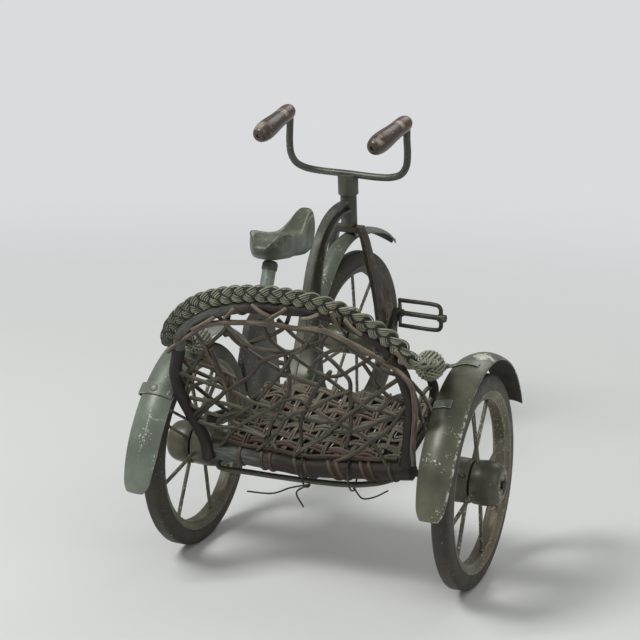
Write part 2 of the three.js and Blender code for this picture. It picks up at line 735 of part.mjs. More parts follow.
// Seat mast: a plate standing on the strap, notched for the saddle post.
const mastShares = [
  [0.2339, 0.36], [0.0276, 0.46], [-0.0165, 0.58], [0.0636, 0.72],
  [0.2038, 0.775], [0.334, 0.765], [0.3942, 0.63], [0.4341, 0.48],
  [0.4482, 0.334],
];
const saddleOverPostShare = 0.19;
const postFootShares = [0.2539, 0.74];
const postHeadShare = 0.925;
const saddleNoseRow = 4;
const sidePoint = ([y, z]) => at(0, frameY(y), z * headMiddle.z);
const postFoot = sidePoint(postFootShares);
const saddleNoseY = frameY(innerStrapShares[saddleNoseRow][0]) - saddleNoseGap;
const postHead = sidePoint([0, postHeadShare]).setY(saddleNoseY - (1 - saddleOverPostShare) * saddleLength);
const postRod = (radius) => bicyclePlane(rod([postFoot, postHead], radius, roundSides, 1));
const mastOutline = new THREE.Shape(
  mastShares.map(([y, z]) => new THREE.Vector2(frameY(y), z * headMiddle.z)),
);
const mastSettings = { depth: mastThickness, bevelEnabled: false, steps: 1 };
const mast = new THREE.ExtrudeGeometry(mastOutline, mastSettings)
  .applyMatrix4(new THREE.Matrix4().makeBasis(at(0, 1, 0), at(0, 0, 1), at(1, 0, 0)))
  .translate(-mastThickness / 2, 0, 0);
put(
  "seat_mast",
  cut(bicyclePlane(mast), bicyclePlane(mainStrap(clearance)), postRod(saddlePostRadius + clearance)),
  "darkMetal",
);
put("saddle_post", postRod(saddlePostRadius), "sage");

// Saddle: a stuffed leather pan with a raised nose. Rows are length, top, bottom and half width.
const saddleShares = [
  [0.85, 0.375, 0.5], [1.22, 0.15, 0.9], [1.2, 0.08, 1], [1.08, 0.02, 0.98], [0.96, 0, 0.92],
  [0.9, -0.07, 0.81], [0.98, -0.15, 0.69], [1.26, -0.22, 0.56], [1.58, -0.26, 0.46],
  [1.62, -0.18, 0.4], [1.05, 0.22, 0.27],
];
const saddleEdgeShare = 0.5;
const saddleDishShare = 0.14;
const saddleColumns = 6;
const saddleRows = 14;

const saddle = formed(saddleColumns, saddleRows, 2, (across, along, deep) => {
  const [top, bottom, half] = blend(saddleShares, along);
  const side = 2 * across - 1;
  const edge = side * side * side * side;
  const thickness = (top - bottom) * saddleDepth * (1 - saddleEdgeShare * edge);
  const middle = ((top + bottom) * saddleDepth) / 2;
  const dish = saddleDishShare * saddleDepth * side * side * deep * (1 - edge);
  return at(
    Math.sin((side * Math.PI) / 2) * half * saddleHalfWidth,
    postHead.y + (along - saddleOverPostShare) * saddleLength,
    postHead.z + middle + thickness * (deep - middleShare) + dish,
  );
});
put("saddle", cut(bicyclePlane(saddle), postRod(saddlePostRadius + clearance)), "leather");

// Chassis rod: a long loop behind the axle that carries the basket's bottom rail. Rows are shares
// of half the track, the rail's offset and the rail's height over the axle.
const chassisShares = [
  [-0.62, 0, 0], [-0.69, -0.5, -0.097], [-0.65, -0.867, -0.129], [-0.42, -0.883, -0.162],
  [0, -0.9, -0.129], [0.32, -0.917, 0.065], [0.48, -0.833, 0.291], [0.545, -0.417, 0.194], [0.56, 0, 0],
];
const chassisSteps = 24;
const chassisPoints = chassisShares.map(([x, y, up]) =>
  at(x * halfTrack, y * railOffset, wheelRadius + up * railAxleHeight),
);
put("chassis_rod", cut(rod(chassisPoints, chassisRodRadius, 6, chassisSteps), fatAxle()), "darkMetal");

// Basket: the back leans on a plane through the bottom rail. Shares of half width and back height.
const backLean = radians(backLeanDegrees);
const backUp = at(0, -Math.sin(backLean), Math.cos(backLean));
const backOut = at(0, -Math.cos(backLean), -Math.sin(backLean));
const railMiddle = at(0, -railOffset, railHeight);

function onBack([x, up], out) {
  return railMiddle
    .clone()
    .add(at(x * basketHalfWidth, 0, 0))
    .addScaledVector(backUp, up * backHeight)
    .addScaledVector(backOut, out);
}

const rimShares = [
  [-1.0, 0.66], [-0.955, 0.745], [-0.84, 0.83], [-0.67, 0.9], [-0.5, 0.95], [-0.3, 0.985],
  [-0.1, 1], [0.1, 1], [0.3, 0.985], [0.52, 0.945], [0.73, 0.88], [0.91, 0.795], [1.01, 0.7],
];
const knobAcrossShare = 0.975;
const armBulgeShares = [1.03, 0.45];
const knobs = [-1, 1].map((sign) => at(sign * knobAcrossShare * basketHalfWidth, -knobSetback, knobHeight));
const armPoints = [-1, 1].map((sign, i) => {
  const corner = onBack(i === 0 ? rimShares[0] : rimShares.at(-1), 0);
  const middle = corner.lerp(knobs[i], armBulgeShares[1]);
  return at(sign * armBulgeShares[0] * basketHalfWidth, middle.y, middle.z);
});
const rimPoints = [
  knobs[0],
  armPoints[0],
  ...rimShares.map((share) => onBack(share, 0)),
  armPoints[1],
  knobs[1],
];
const rimSteps = 34;
const knob = (i, radius) =>
  new THREE.SphereGeometry(radius, 14, 10).translate(knobs[i].x, knobs[i].y, knobs[i].z);
const braid = (spare) => rod(rimPoints, braidRadius + spare, 8, rimSteps);
const fatKnobs = [0, 1].map((i) => knob(i, knobRadius + clearance));
put("braided_rim", cut(braid(0), ...fatKnobs), "straw");
put("arm_knob_left", knob(0, knobRadius), "straw");
put("arm_knob_right", knob(1, knobRadius), "straw");

// Hoop: the bark-covered stick under the braid.
const hoopSeat = braidRadius + hoopRadius + clearance;

function hoopPoint(i) {
  const before = onBack(rimShares[Math.max(i - 1, 0)], 0);
  const after = onBack(rimShares[Math.min(i + 1, rimShares.length - 1)], 0);
  const run = after.sub(before).normalize();
  return onBack(rimShares[i], 0).addScaledVector(run.cross(backOut).normalize(), hoopSeat);
}

const hoopPoints = rimShares.map((_, i) => hoopPoint(i));
const hoop = (spare) => rod(hoopPoints, hoopRadius + spare, 8, 22);
put("basket_hoop", cut(hoop(0), braid(clearance), ...fatKnobs), "bark");

// Bottom rail: a thick stick with a slight sag.
const railShares = [[-0.86, 0.45], [-0.6, 0.2], [-0.3, 0], [0, -0.16], [0.38, 0.25], [0.88, 0.95]];
const railPoints = railShares.map(([x, up]) =>
  at(x * basketHalfWidth, -railOffset, railHeight + up * railRadius),
);
const rail = (spare) => rod(railPoints, railRadius + spare, roundSides, 14);
put("bottom_rail", rail(0), "bark");

// Tie wires: a loop round the bottom rail and the chassis rod, with loose ends below. Each row of
// an end is a way from the loop's foot, in shares of the rail's offset.
const leftTailShares = [
  [[-0.333, 0.039, -0.111], [-0.633, 0.039, -0.244], [-1.083, 0.039, -0.277]],
  [[-0.233, 0.039, -0.177], [-0.117, 0.039, -0.394]],
];
const rightTailShares = [[[0.106, 0.061, -0.159], [0.306, 0.061, -0.109], [0.522, 0.061, 0.025]]];
const tieSlackShare = 1.22;
const wireSeat = tieWireRadius + clearance;

function tieEnds(station, railStation) {
  const low = chassisPoints[station];
  const high = at(low.x, -railOffset, railPoints[railStation].z);
  const along = high.clone().sub(low).normalize();
  const top = high.clone().addScaledVector(along, railRadius + wireSeat + tieWireRadius);
  const foot = low.clone().addScaledVector(along, -chassisRodRadius - wireSeat - tieWireRadius);
  return { along, top, foot };
}

function tieLoop({ along, top, foot }, spare) {
  const halfWide = tieSlackShare * (railRadius + wireSeat);
  return new THREE.TorusGeometry(halfWide, tieWireRadius + spare, 5, 20)
    .scale(1, top.distanceTo(foot) / 2 / halfWide, 1)
    .applyMatrix4(new THREE.Matrix4().makeBasis(along.clone().cross(at(1, 0, 0)), along, at(1, 0, 0)))
    .translate(foot.x, (top.y + foot.y) / 2, (top.z + foot.z) / 2);
}

const ties = {
  left: [tieEnds(4, 3), leftTailShares],
  right: [tieEnds(5, 4), rightTailShares],
};
const fatTies = Object.values(ties).map(([ends]) => tieLoop(ends, clearance));
for (const [side, [ends, tails]] of Object.entries(ties)) {
  const loose = tails.map((ways) => {
    const bends = ways.map(([x, y, z]) => at(x, y, z).multiplyScalar(railOffset).add(ends.foot));
    return rod([ends.foot, ...bends], tieWireRadius, 5, 5);
  });
  put(`tie_wire_${side}`, join(tieLoop(ends, 0), ...loose), "wire");
}

// Back posts from the hoop's ends down to the rail, with a wire stay out to each fender.
const backPostShares = [
  [[-0.985, 0.6], [-0.98, 0.46], [-0.955, 0.3], [-0.89, 0.16], [-0.8, 0.03]],
  [[0.99, 0.65], [0.965, 0.48], [0.925, 0.32], [0.885, 0.18], [0.83, 0.06]],
];
const backPostPoints = backPostShares.map((shares, i) => {
  const top = i === 0 ? hoopPoints[0] : hoopPoints.at(-1);
  return [top, ...shares.slice(1).map((share) => onBack(share, 0))];
});
const backPost = (i, spare) => rod(backPostPoints[i], backPostRadius + spare, 8, 10);
const fatRail = rail(clearance);
const fatHoop = hoop(clearance);
const fatBraid = braid(clearance);
for (const [i, side] of ["left", "right"].entries()) {
  put(`back_post_${side}`, cut(backPost(i, 0), fatRail, fatHoop, fatBraid, fatKnobs[i]), "bark");
  const stay = rod([stayTops[side], backPostPoints[i][3]], stayWireRadius, spokeSides, 1);
  put(`fender_stay_${side}`, cut(stay, backPost(i, clearance)), "wire");
}

// Arm posts from the knobs down to the axle.
const armPostShares = [[1, 1, 1], [0.955, 0.62, 0.78], [0.885, 0.2, 0.6], [0.82, 0, 0]];
const armFootSpan = knobHeight - wheelRadius;
const armPostPoints = [-1, 1].map((sign, i) => {
  const lower = armPostShares.slice(1).map(([x, y, z]) =>
    at(sign * x * basketHalfWidth, -y * knobSetback, wheelRadius + z * armFootSpan),
  );
  return [knobs[i], ...lower];
});
const armPost = (i, spare) => rod(armPostPoints[i], armPostRadius + spare, 8, 10);
for (const [i, side] of ["left", "right"].entries()) {
  put(`arm_post_${side}`, cut(armPost(i, 0), fatKnobs[i], fatAxle()), "bark");
}

// Back lattice: bent reeds that cross at odd angles, drawn as shares of the back.
const latticeShares = [
  [
    [-0.92, 0.55], [-0.74, 0.69], [-0.58, 0.79], [-0.24, 0.82], [0.1, 0.83],
    [0.35, 0.83], [0.55, 0.78], [0.92, 0.6],
  ],
  [[-0.95, 0.32], [-0.92, 0.39], [-0.83, 0.5], [-0.74, 0.58], [-0.59, 0.69], [-0.45, 0.78], [-0.38, 0.89]],
  [[-0.72, 0.76], [-0.65, 0.64], [-0.61, 0.58], [-0.57, 0.49], [-0.54, 0.4]],
  [[-0.94, 0.57], [-0.75, 0.55], [-0.57, 0.51], [-0.46, 0.48]],
  [[-0.97, 0.5], [-0.74, 0.45], [-0.49, 0.4], [-0.36, 0.37], [-0.18, 0.33], [0.02, 0.28]],
  [[-0.96, 0.31], [-0.89, 0.38], [-0.74, 0.44], [-0.55, 0.48]],
  [[-0.5, 0.86], [-0.31, 0.72], [-0.18, 0.69], [0, 0.68], [0.13, 0.7], [0.27, 0.8]],
  [[-0.45, 0.76], [-0.36, 0.7], [-0.2, 0.61], [-0.05, 0.56], [0.12, 0.52], [0.23, 0.49]],
  [
    [-0.93, 0.21], [-0.79, 0.29], [-0.7, 0.33], [-0.55, 0.41], [-0.33, 0.51],
    [-0.18, 0.62], [0.03, 0.68], [0.31, 0.76], [0.42, 0.84],
  ],
  [[-0.36, 0.66], [-0.28, 0.7], [-0.08, 0.77], [0.04, 0.82], [0.12, 0.92]],
  [
    [-0.14, 0.86], [-0.08, 0.75], [0.05, 0.68], [0.19, 0.61], [0.3, 0.58],
    [0.42, 0.58], [0.56, 0.64], [0.76, 0.74],
  ],
  [[0, 0.86], [0.15, 0.76], [0.31, 0.69], [0.43, 0.62], [0.49, 0.56], [0.48, 0.47], [0.46, 0.34]],
  [[0.34, 0.86], [0.54, 0.75], [0.74, 0.66], [0.9, 0.63]],
  [[0.25, 0.58], [0.44, 0.48], [0.55, 0.43], [0.7, 0.39], [0.94, 0.35]],
  [[0.1, 0.36], [0.17, 0.44], [0.23, 0.5], [0.36, 0.6]],
  [[-0.94, 0.3], [-0.84, 0.26], [-0.64, 0.22], [-0.48, 0.19], [-0.3, 0.12], [-0.22, 0]],
  [[-0.72, 0], [-0.57, 0.16], [-0.36, 0.27], [-0.17, 0.35], [-0.05, 0.42]],
  [[-0.68, 0.19], [-0.49, 0.27], [-0.36, 0.34], [-0.21, 0.44], [-0.05, 0.56], [0.08, 0.68]],
  [[-0.4, 0], [-0.19, 0.19], [-0.06, 0.3], [0.14, 0.36], [0.31, 0.44], [0.49, 0.5]],
  [[-0.9, 0.33], [-0.72, 0.32], [-0.48, 0.3], [-0.3, 0.28], [-0.12, 0.26]],
  [[-0.1, 0.39], [0.05, 0.41], [0.2, 0.35], [0.39, 0.28], [0.59, 0.21], [0.72, 0]],
  [[-0.1, 0.28], [0.02, 0.29], [0.27, 0.29], [0.46, 0.35], [0.6, 0.4]],
  [
    [-0.08, 0], [0.03, 0.12], [0.21, 0.2], [0.31, 0.27], [0.47, 0.37],
    [0.63, 0.46], [0.77, 0.54], [0.93, 0.62],
  ],
  [[0.13, 0.16], [0.28, 0.22], [0.42, 0.24], [0.61, 0.3], [0.73, 0.34], [0.93, 0.36]],
  [[0.26, 0], [0.4, 0.1], [0.59, 0.21], [0.76, 0.3], [0.9, 0.43], [0.98, 0.5]],
  [[0.62, 0.66], [0.76, 0.51], [0.86, 0.47], [0.95, 0.42]],
  [[0.58, 0.43], [0.69, 0.41], [0.84, 0.49], [0.96, 0.53]],
];
const reedLayerShare = 0.45;
const borderReedRadius = 2.1;
const reeds = latticeShares.map((shares, i) => {
  const out = (i % 2 ? 1 : -1) * reedLayerShare * reedRadius;
  const points = shares.map((share) => onBack(share, i === 0 ? 0 : out));
  return rod(points, i === 0 ? borderReedRadius : reedRadius, reedSides, points.length - 1);
});
const fatPosts = [0, 1].map((i) => backPost(i, clearance));
const aroundBack = [fatRail, fatHoop, fatBraid, ...fatPosts, ...fatTies];
put("back_lattice", cut(join(...reeds), ...aroundBack), "reed");

// Side lattices between each back post and arm post.
const sideReedShares = [
  [0.2, 0.31, 0.45, 0.56, 0.68], [0.84, 0.66, 0.45, 0.32, 0.24], [0.5, 0.6, 0.72, 0.8, 0.84],
  [0.97, 0.86, 0.72, 0.58, 0.46],
];

function sideReed(i, rows) {
  const back = new THREE.CatmullRomCurve3(backPostPoints[i], false, "centripetal");
  const front = new THREE.CatmullRomCurve3(armPostPoints[i], false, "centripetal");
  const last = 2 * (rows.length - 1);
  const points = Array.from({ length: last + 1 }, (_, k) => {
    const up = (rows[Math.floor(k / 2)] + rows[Math.ceil(k / 2)]) / 2;
    return back.getPoint(1 - up).lerp(front.getPoint(1 - up), k / last);
  });
  return rod(points, reedRadius, reedSides, last);
}

for (const [i, side] of ["left", "right"].entries()) {
  const crossed = join(...sideReedShares.map((rows) => sideReed(i, rows)));
  const around = [fatPosts[i], armPost(i, clearance), fatRail, fatHoop, fatBraid, fatKnobs[i]];
  put(`side_lattice_${side}`, cut(crossed, ...around), "reed");
}

// Seat: side rails, a front rail with two bound places, and a woven panel lying on them.
const sideRailShare = 0.745;
const seatRise = at(0, seatFrontReach + railOffset, seatFrontHeight - railHeight);
const seatRun = seatRise.clone().normalize();
const seatNormal = at(0, -seatRun.z, seatRun.y);
const frontRailPlace = at(0, seatFrontReach, seatFrontHeight);
const frontRailHalf = sideRailShare * basketHalfWidth + sideRailRadius + cutOverrun;
const frontRail = (spare) =>
  rod(
    [frontRailPlace.clone().setX(-frontRailHalf), frontRailPlace.clone().setX(frontRailHalf)],
    frontRailRadius + spare,
    roundSides,
    1,
  );
const fatFrontRail = frontRail(clearance);
put("seat_front_rail", frontRail(0), "reed");
for (const [i, side] of ["left", "right"].entries()) {
  const x = (2 * i - 1) * sideRailShare * basketHalfWidth;
  const sideRail = rod([railMiddle.clone().setX(x), frontRailPlace.clone().setX(x)], sideRailRadius, 8, 1);
  put(`seat_side_rail_${side}`, cut(sideRail, fatRail, fatFrontRail, armPost(i, clearance)), "bark");
}

const wrapShares = [["left", -0.45], ["right", 0.1]];
const wrap = (share, spare) =>
  ring(
    [
      [-wrapLength / 2 - spare, frontRailRadius + clearance],
      [wrapLength / 2 + spare, frontRailRadius + clearance],
      [wrapLength / 2 + spare, wrapRadius + spare],
      [-wrapLength / 2 - spare, wrapRadius + spare],
    ],
    roundSides,
  ).translate(share * basketHalfWidth, frontRailPlace.y, frontRailPlace.z);
for (const [side, share] of wrapShares) {
  put(`rail_wrap_${side}`, wrap(share, 0), "splint");
}

const panelHalfWidth = sideRailShare * basketHalfWidth + sideRailRadius / 2;
const panelRearGap = 11;
const panelColumns = 10;
const panelWaveShare = 0.12;
const panel = formed(panelColumns, 6, 1, (across, along, deep) => {
  const wave = panelWaveShare * seatThickness * Math.cos(panelColumns * Math.PI * across) * deep;
  const place = railMiddle
    .clone()
    .addScaledVector(seatRun, panelRearGap + (seatRise.length() - panelRearGap) * along)
    .addScaledVector(seatNormal, sideRailRadius + clearance + seatThickness * deep + wave);
  return place.setX((2 * across - 1) * panelHalfWidth);
});
const fatWraps = wrapShares.map(([, share]) => wrap(share, clearance));
put("seat_panel", cut(panel, ...fatWraps, armPost(0, clearance), armPost(1, clearance)), "splint");

// Bracket from the right arm post to the top of the right fender.
const bracketDegrees = 100;
const bracketShares = [-1.5, 0.55];
const bracketFootShare = 0.8;
const bracketHead = fenderPoint(bracketDegrees, bracketShares[0], fenderSheet + clearance);
const bracketFoot = armPostPoints[1][1].clone().lerp(knobs[1], bracketFootShare);
const bracketLeg = rod(
  [bracketHead.setX(bracketHead.x + halfTrack + rivetRadius), bracketFoot],
  rivetRadius,
  spokeSides,
  1,
);
const bracket = join(fenderStrap(bracketDegrees, ...bracketShares).translate(halfTrack, 0, 0), bracketLeg);
put("fender_bracket_right", cut(bracket, fatKnobs[1], armPost(1, clearance)), "sage");

for (const mesh of object.children) mesh.geometry.translate(halfTrack, 0, 0);

export default object;
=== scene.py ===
import json
import math
import random

import bmesh
import bpy
import numpy as np
from mathutils import Matrix, Vector, noise


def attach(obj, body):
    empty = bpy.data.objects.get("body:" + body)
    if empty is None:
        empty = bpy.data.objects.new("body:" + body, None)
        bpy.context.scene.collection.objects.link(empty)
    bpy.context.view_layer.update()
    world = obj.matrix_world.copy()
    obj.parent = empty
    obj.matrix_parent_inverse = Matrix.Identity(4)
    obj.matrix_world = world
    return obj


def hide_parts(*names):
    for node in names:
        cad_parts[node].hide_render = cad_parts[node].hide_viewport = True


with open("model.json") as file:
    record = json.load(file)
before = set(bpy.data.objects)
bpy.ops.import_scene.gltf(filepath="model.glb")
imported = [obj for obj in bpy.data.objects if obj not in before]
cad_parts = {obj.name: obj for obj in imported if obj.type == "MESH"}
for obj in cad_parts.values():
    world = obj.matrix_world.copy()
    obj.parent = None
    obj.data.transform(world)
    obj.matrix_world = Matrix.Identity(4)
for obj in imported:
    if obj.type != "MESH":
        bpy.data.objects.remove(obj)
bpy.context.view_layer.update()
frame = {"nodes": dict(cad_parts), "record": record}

# Camera
# It stands behind the sidecar, a little to its right, and looks forward and slightly down. Its
# place and lens come from the ellipses that the wheels make in the photograph.
MM = 0.001
camera_place = Vector((0.5423, -1.0260, 0.4563))
camera_target = Vector((0.09815, 0.0, 0.17798))
camera = bpy.data.objects.new("camera", bpy.data.cameras.new("camera"))
camera.data.sensor_width = 36.0
camera.data.lens = 92.52
camera.location = camera_place
camera.rotation_euler = (camera_target - camera_place).to_track_quat("-Z", "Y").to_euler()
bpy.context.scene.collection.objects.link(camera)
bpy.context.scene.camera = camera


# Floor and light
# A plain pale floor that meets a pale background, one broad soft lamp above and to the left,
# weaker ones to the right and behind, and an even sky.
def linear(code):
    """An sRGB hex colour as the linear values that the render works with."""
    parts = [int(code[i:i + 2], 16) / 255 for i in (0, 2, 4)]
    return [p / 12.92 if p <= 0.04045 else ((p + 0.055) / 1.055) ** 2.4 for p in parts] + [1.0]


def add(tree, kind, settings=(), inputs=()):
    """One shader node by its type's name: its settings, and for each input a plain value, a hex
    colour or what feeds it."""
    made = tree.nodes.new(kind)
    for key, value in dict(settings).items():
        setattr(made, key, value)
    for key, value in dict(inputs).items():
        if isinstance(value, bpy.types.Node):
            value = value.outputs[0]
        if isinstance(value, bpy.types.NodeSocket):
            tree.links.new(value, made.inputs[key])
        else:
            made.inputs[key].default_value = linear(value) if isinstance(value, str) else value
    return made


def principled(name, roughness, **uniform):
    """A new material and its shader, with the shader's plain settings."""
    made = bpy.data.materials.new(name)
    made.use_nodes = True
    shader = made.node_tree.nodes["Principled BSDF"]
    shader.inputs["Roughness"].default_value = roughness
    for key, value in uniform.items():
        shader.inputs[key.replace("_", " ")].default_value = value
    return made, made.node_tree, shader


floor_radius = 40.0
floor_mesh = bpy.data.meshes.new("floor")
floor_ring = [(floor_radius * math.cos(a), floor_radius * math.sin(a), 0.0)
              for a in np.linspace(0, 2 * math.pi, 64, endpoint=False)]
floor_mesh.from_pydata(floor_ring, [], [list(range(len(floor_ring)))])
floor = bpy.data.objects.new("floor", floor_mesh)
bpy.context.scene.collection.objects.link(floor)

# Matt paper. Far from the object it glows, for the camera alone, so that it meets the sky unseen.
floor_paper, tree, shader = principled("matt_paper_floor", 0.95, Specular_IOR_Level=0.1,
                                       Base_Color=linear("dfe0dd"))
spot = add(tree, "ShaderNodeNewGeometry").outputs["Position"]
reach = add(tree, "ShaderNodeVectorMath", {"operation": "LENGTH"}, {0: spot}).outputs["Value"]
far = add(tree, "ShaderNodeMapRange", {"interpolation_type": "SMOOTHSTEP"},
          {"From Min": 0.35, "From Max": 1.6, "Value": reach})
seen = add(tree, "ShaderNodeLightPath").outputs["Is Camera Ray"]
share = add(tree, "ShaderNodeMath", {"operation": "MULTIPLY"}, {0: far, 1: seen})
glow = add(tree, "ShaderNodeEmission", inputs={"Color": "d9dbdd"})
mixed = add(tree, "ShaderNodeMixShader", inputs={"Fac": share, 1: shader, 2: glow})
tree.links.new(mixed.outputs[0], tree.nodes["Material Output"].inputs["Surface"])
floor_mesh.materials.append(floor_paper)

sky_light, sky_shown = 0.37, 0.78
sky = bpy.data.worlds.new("sky")
sky.use_nodes = True
bpy.context.scene.world = sky
tree, background = sky.node_tree, sky.node_tree.nodes["Background"]
background.inputs["Color"].default_value = linear("f2f4f6")
rays = add(tree, "ShaderNodeLightPath").outputs
seen = add(tree, "ShaderNodeMath", {"operation": "MAXIMUM"},
           {0: rays["Is Camera Ray"], 1: rays["Is Transmission Ray"]})
level = add(tree, "ShaderNodeMapRange", inputs={"To Min": sky_light, "To Max": sky_shown, "Value": seen})
tree.links.new(level.outputs[0], background.inputs["Strength"])

lamp_target = Vector((0.1, 0.1, 0.12))
for name, place, size, watts in (
    ("key", (-0.8, -0.8, 1.8), 0.7, 27.0),
    ("fill", (1.5, -0.5, 1.1), 1.2, 4.0),
    ("rim", (0.3, 1.6, 1.5), 1.0, 7.0),
):
    lamp = bpy.data.objects.new(name, bpy.data.lights.new(name, "AREA"))
    lamp.data.size = size
    lamp.data.energy = watts
    lamp.location = place
    lamp.rotation_euler = (lamp_target - lamp.location).to_track_quat("-Z", "Y").to_euler()
    bpy.context.scene.collection.objects.link(lamp)


# Tyres
# Solid dark brown tyres on all three wheels, moulded, worn dull and dusty, with pale flecks where
# the surface is scuffed. The front one is steered, so it is built about its own tilted axle.
wheel_radius, wheel_depth = 75 * MM, 15 * MM
front_radius, front_depth = 81 * MM, 16.5 * MM
tyre_width = 13 * MM
track = 214 * MM
wheel_places = {
    "left": Matrix.Translation((0, 0, wheel_radius)),
    "right": Matrix.Translation((track, 0, wheel_radius)),
}
steered_axes = ((0.994522, 0.104528, 0.0), (-0.104131, 0.990737, -0.087156), (-0.00911, 0.086678, 0.996195))
steered = Matrix.Translation((0, 301 * MM, front_radius)) @ Matrix(steered_axes).to_4x4()
body_of_node = {n: b for b, ns in frame["record"]["behaviour"]["bodies"].items() for n in ns}


def speckle(tree, where, per_mm, low, high, detail=4.0, distortion=0.0, drawn=None, within=()):
    """Grey noise with grains 1 / per_mm millimetres wide, spread from 0 at low to 1 at high. drawn
    is its scale across and along the third axis; within keeps it to where other patterns are 1."""
    if drawn:
        across, along = drawn
        where = add(tree, "ShaderNodeVectorMath", {"operation": "MULTIPLY"},
                    {0: where, 1: (across, across, along)})
    cloud = add(tree, "ShaderNodeTexNoise", inputs={
        "Scale": per_mm / MM, "Detail": detail, "Distortion": distortion, "Vector": where})
    made = add(tree, "ShaderNodeMapRange", inputs={
        "From Min": low, "From Max": high, "Value": cloud.outputs["Fac"]})
    for pattern in within:
        made = add(tree, "ShaderNodeMath", {"operation": "MULTIPLY"}, {0: made, 1: pattern})
    return made


def layers(tree, base, *coats):
    """Colours laid over a base. Each coat is where it goes, its colour and, if it is thin, how much
    of it there is."""
    for where, colour, *amount in coats:
        if amount:
            where = add(tree, "ShaderNodeMath", {"operation": "MULTIPLY"}, {0: where, 1: amount[0]})
        base = add(tree, "ShaderNodeMix", {"data_type": "RGBA"},
                   {"Factor": where, 6: base, 7: colour}).outputs[2]
    return base


def surfaced(tree, shader, colour, relief, millimetres, strength=0.6, dull=None):
    """What the shader shows: a colour, relief this many millimetres deep from a grey pattern, and
    with dull a roughness that goes by a pattern from one value to another."""
    relief = add(tree, "ShaderNodeBump", inputs={
        "Strength": strength, "Distance": millimetres * MM, "Height": relief})
    shown_by = {"Base Color": colour, "Normal": relief.outputs[0]}
    if dull:
        pattern, low, high = dull
        level = add(tree, "ShaderNodeMapRange", inputs={"To Min": low, "To Max": high, "Value": pattern})
        shown_by["Roughness"] = level.outputs[0]
    for key, source in shown_by.items():
        tree.links.new(source, shader.inputs[key])


# Moulded rubber gone hard and dusty: dull, dark brown, greyer where dust lies.
tyre_rubber, tree, shader = principled("moulded_tyre_rubber", 0.62, Specular_IOR_Level=0.4)
here = add(tree, "ShaderNodeTexCoord").outputs["Object"]
dust = speckle(tree, here, 0.06, 0.38, 0.66)
colour = layers(tree, "2a2821", (dust, "454236"), (speckle(tree, here, 0.28, 0.42, 0.72, 5.0), "37342a"),
                (speckle(tree, here, 0.4, 0.69, 0.71, 6.0), "857d6c"))
surfaced(tree, shader, colour, speckle(tree, here, 0.7, 0.3, 0.7, 6.0), 0.25, dull=(dust, 0.42, 0.66))


def closed_curve(points, steps):
    """A smooth closed outline through the points, as pairs."""
    count = len(points)
    made = []
    for i in range(count):
        p, q, r, s = (np.array(points[(i + k) % count], float) for k in (-1, 0, 1, 2))
        for t in np.linspace(0, 1, steps, endpoint=False):
            made.append(0.5 * (2 * q + (r - p) * t + (2 * p - 5 * q + 4 * r - s) * t ** 2
                               + (3 * q - p - 3 * r + s) * t ** 3))
    return made


def turned(profile, segments, around=True):
    """A piece turned about the X axis from pairs of place and radius: corners, faces, grain. around
    closes the profile on itself; without it each end gets a face."""
    corners, grain = [], []
    for k in range(segments):
        turn = 2 * math.pi * k / segments
        for along, radius in profile:
            corners.append((along, radius * math.cos(turn), radius * math.sin(turn)))
            grain.append((radius * math.cos(turn), radius * math.sin(turn), along))
    count = len(profile)
    faces = [[i * count + j, i * count + (j + 1) % count, (i + 1) % segments * count + (j + 1) % count,
              (i + 1) % segments * count + j]
             for i in range(segments) for j in range(count if around else count - 1)]
    if not around:
        faces.append([i * count for i in range(segments)])
        faces.append([i * count + count - 1 for i in reversed(range(segments))])
    return corners, faces, grain


def shown(mesh, name, finish, node, crease=38):
    """The mesh as a piece of the model: smooth, facing out, riding on its node's body. A mesh that
    comes with its finishes keeps them."""
    shell = bmesh.new()
    shell.from_mesh(mesh)
    bmesh.ops.recalc_face_normals(shell, faces=shell.faces)
    shell.to_mesh(mesh)
    shell.free()
    mesh.shade_smooth()
    mesh.set_sharp_from_angle(angle=math.radians(crease))
    if not mesh.materials:
        mesh.materials.append(finish)
    made = bpy.data.objects.new(name, mesh)
    bpy.context.scene.collection.objects.link(made)
    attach(made, body_of_node[node])
    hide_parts(node)
    return made


def piece(name, shape, finish, node, place=None, crease=38):
    """A shape as a piece: its corners, its faces and one vector per corner, the grain."""
    corners, faces, grain = shape
    mesh = bpy.data.meshes.new(name)
    mesh.from_pydata([tuple(v) for v in corners], [], faces)
    marks = mesh.attributes.new("grain", "FLOAT_VECTOR", "POINT")
    marks.data.foreach_set("vector", np.array(grain, np.float32).ravel())
    if place:
        mesh.transform(place)
    return shown(mesh, name, finish, node, crease)


tyre_shares = [(-0.34, 0), (0.34, 0), (0.5, 0.24), (0.48, 0.74), (0.28, 1), (-0.28, 1), (-0.48, 0.74),
               (-0.5, 0.24)]


def tyre(radius, depth):
    """A tyre's section, flat at the tread and the seat, turned about the axle."""
    outline = [(min(max(a, -0.5), 0.5) * tyre_width, radius - depth + min(max(r, 0), 1) * depth)
               for a, r in closed_curve(tyre_shares, 4)]
    return turned(outline, 96)


for side, place in wheel_places.items():
    piece(f"tyre_{side}", tyre(wheel_radius, wheel_depth), tyre_rubber, f"rear_tyre_{side}", place)
piece("tyre_front", tyre(front_radius, front_depth), tyre_rubber, "front_tyre", steered)


# Rims and spokes
# Rolled steel rims and eight wire spokes a wheel, brushed with grey-green paint that has chipped
# to bare pale metal in places and is dark with grime in others, with painted shade in its hollows.
def hollows(tree, reach_mm, open_level, shut_level, samples=6):
    """1 in the hollows that what lies within this reach shuts in, for painted shade, and 0 in the open."""
    shut = add(tree, "ShaderNodeAmbientOcclusion", {"samples": samples}, {"Distance": reach_mm * MM})
    return add(tree, "ShaderNodeMapRange", inputs={
        "From Min": open_level, "From Max": shut_level, "Value": shut.outputs["AO"]})


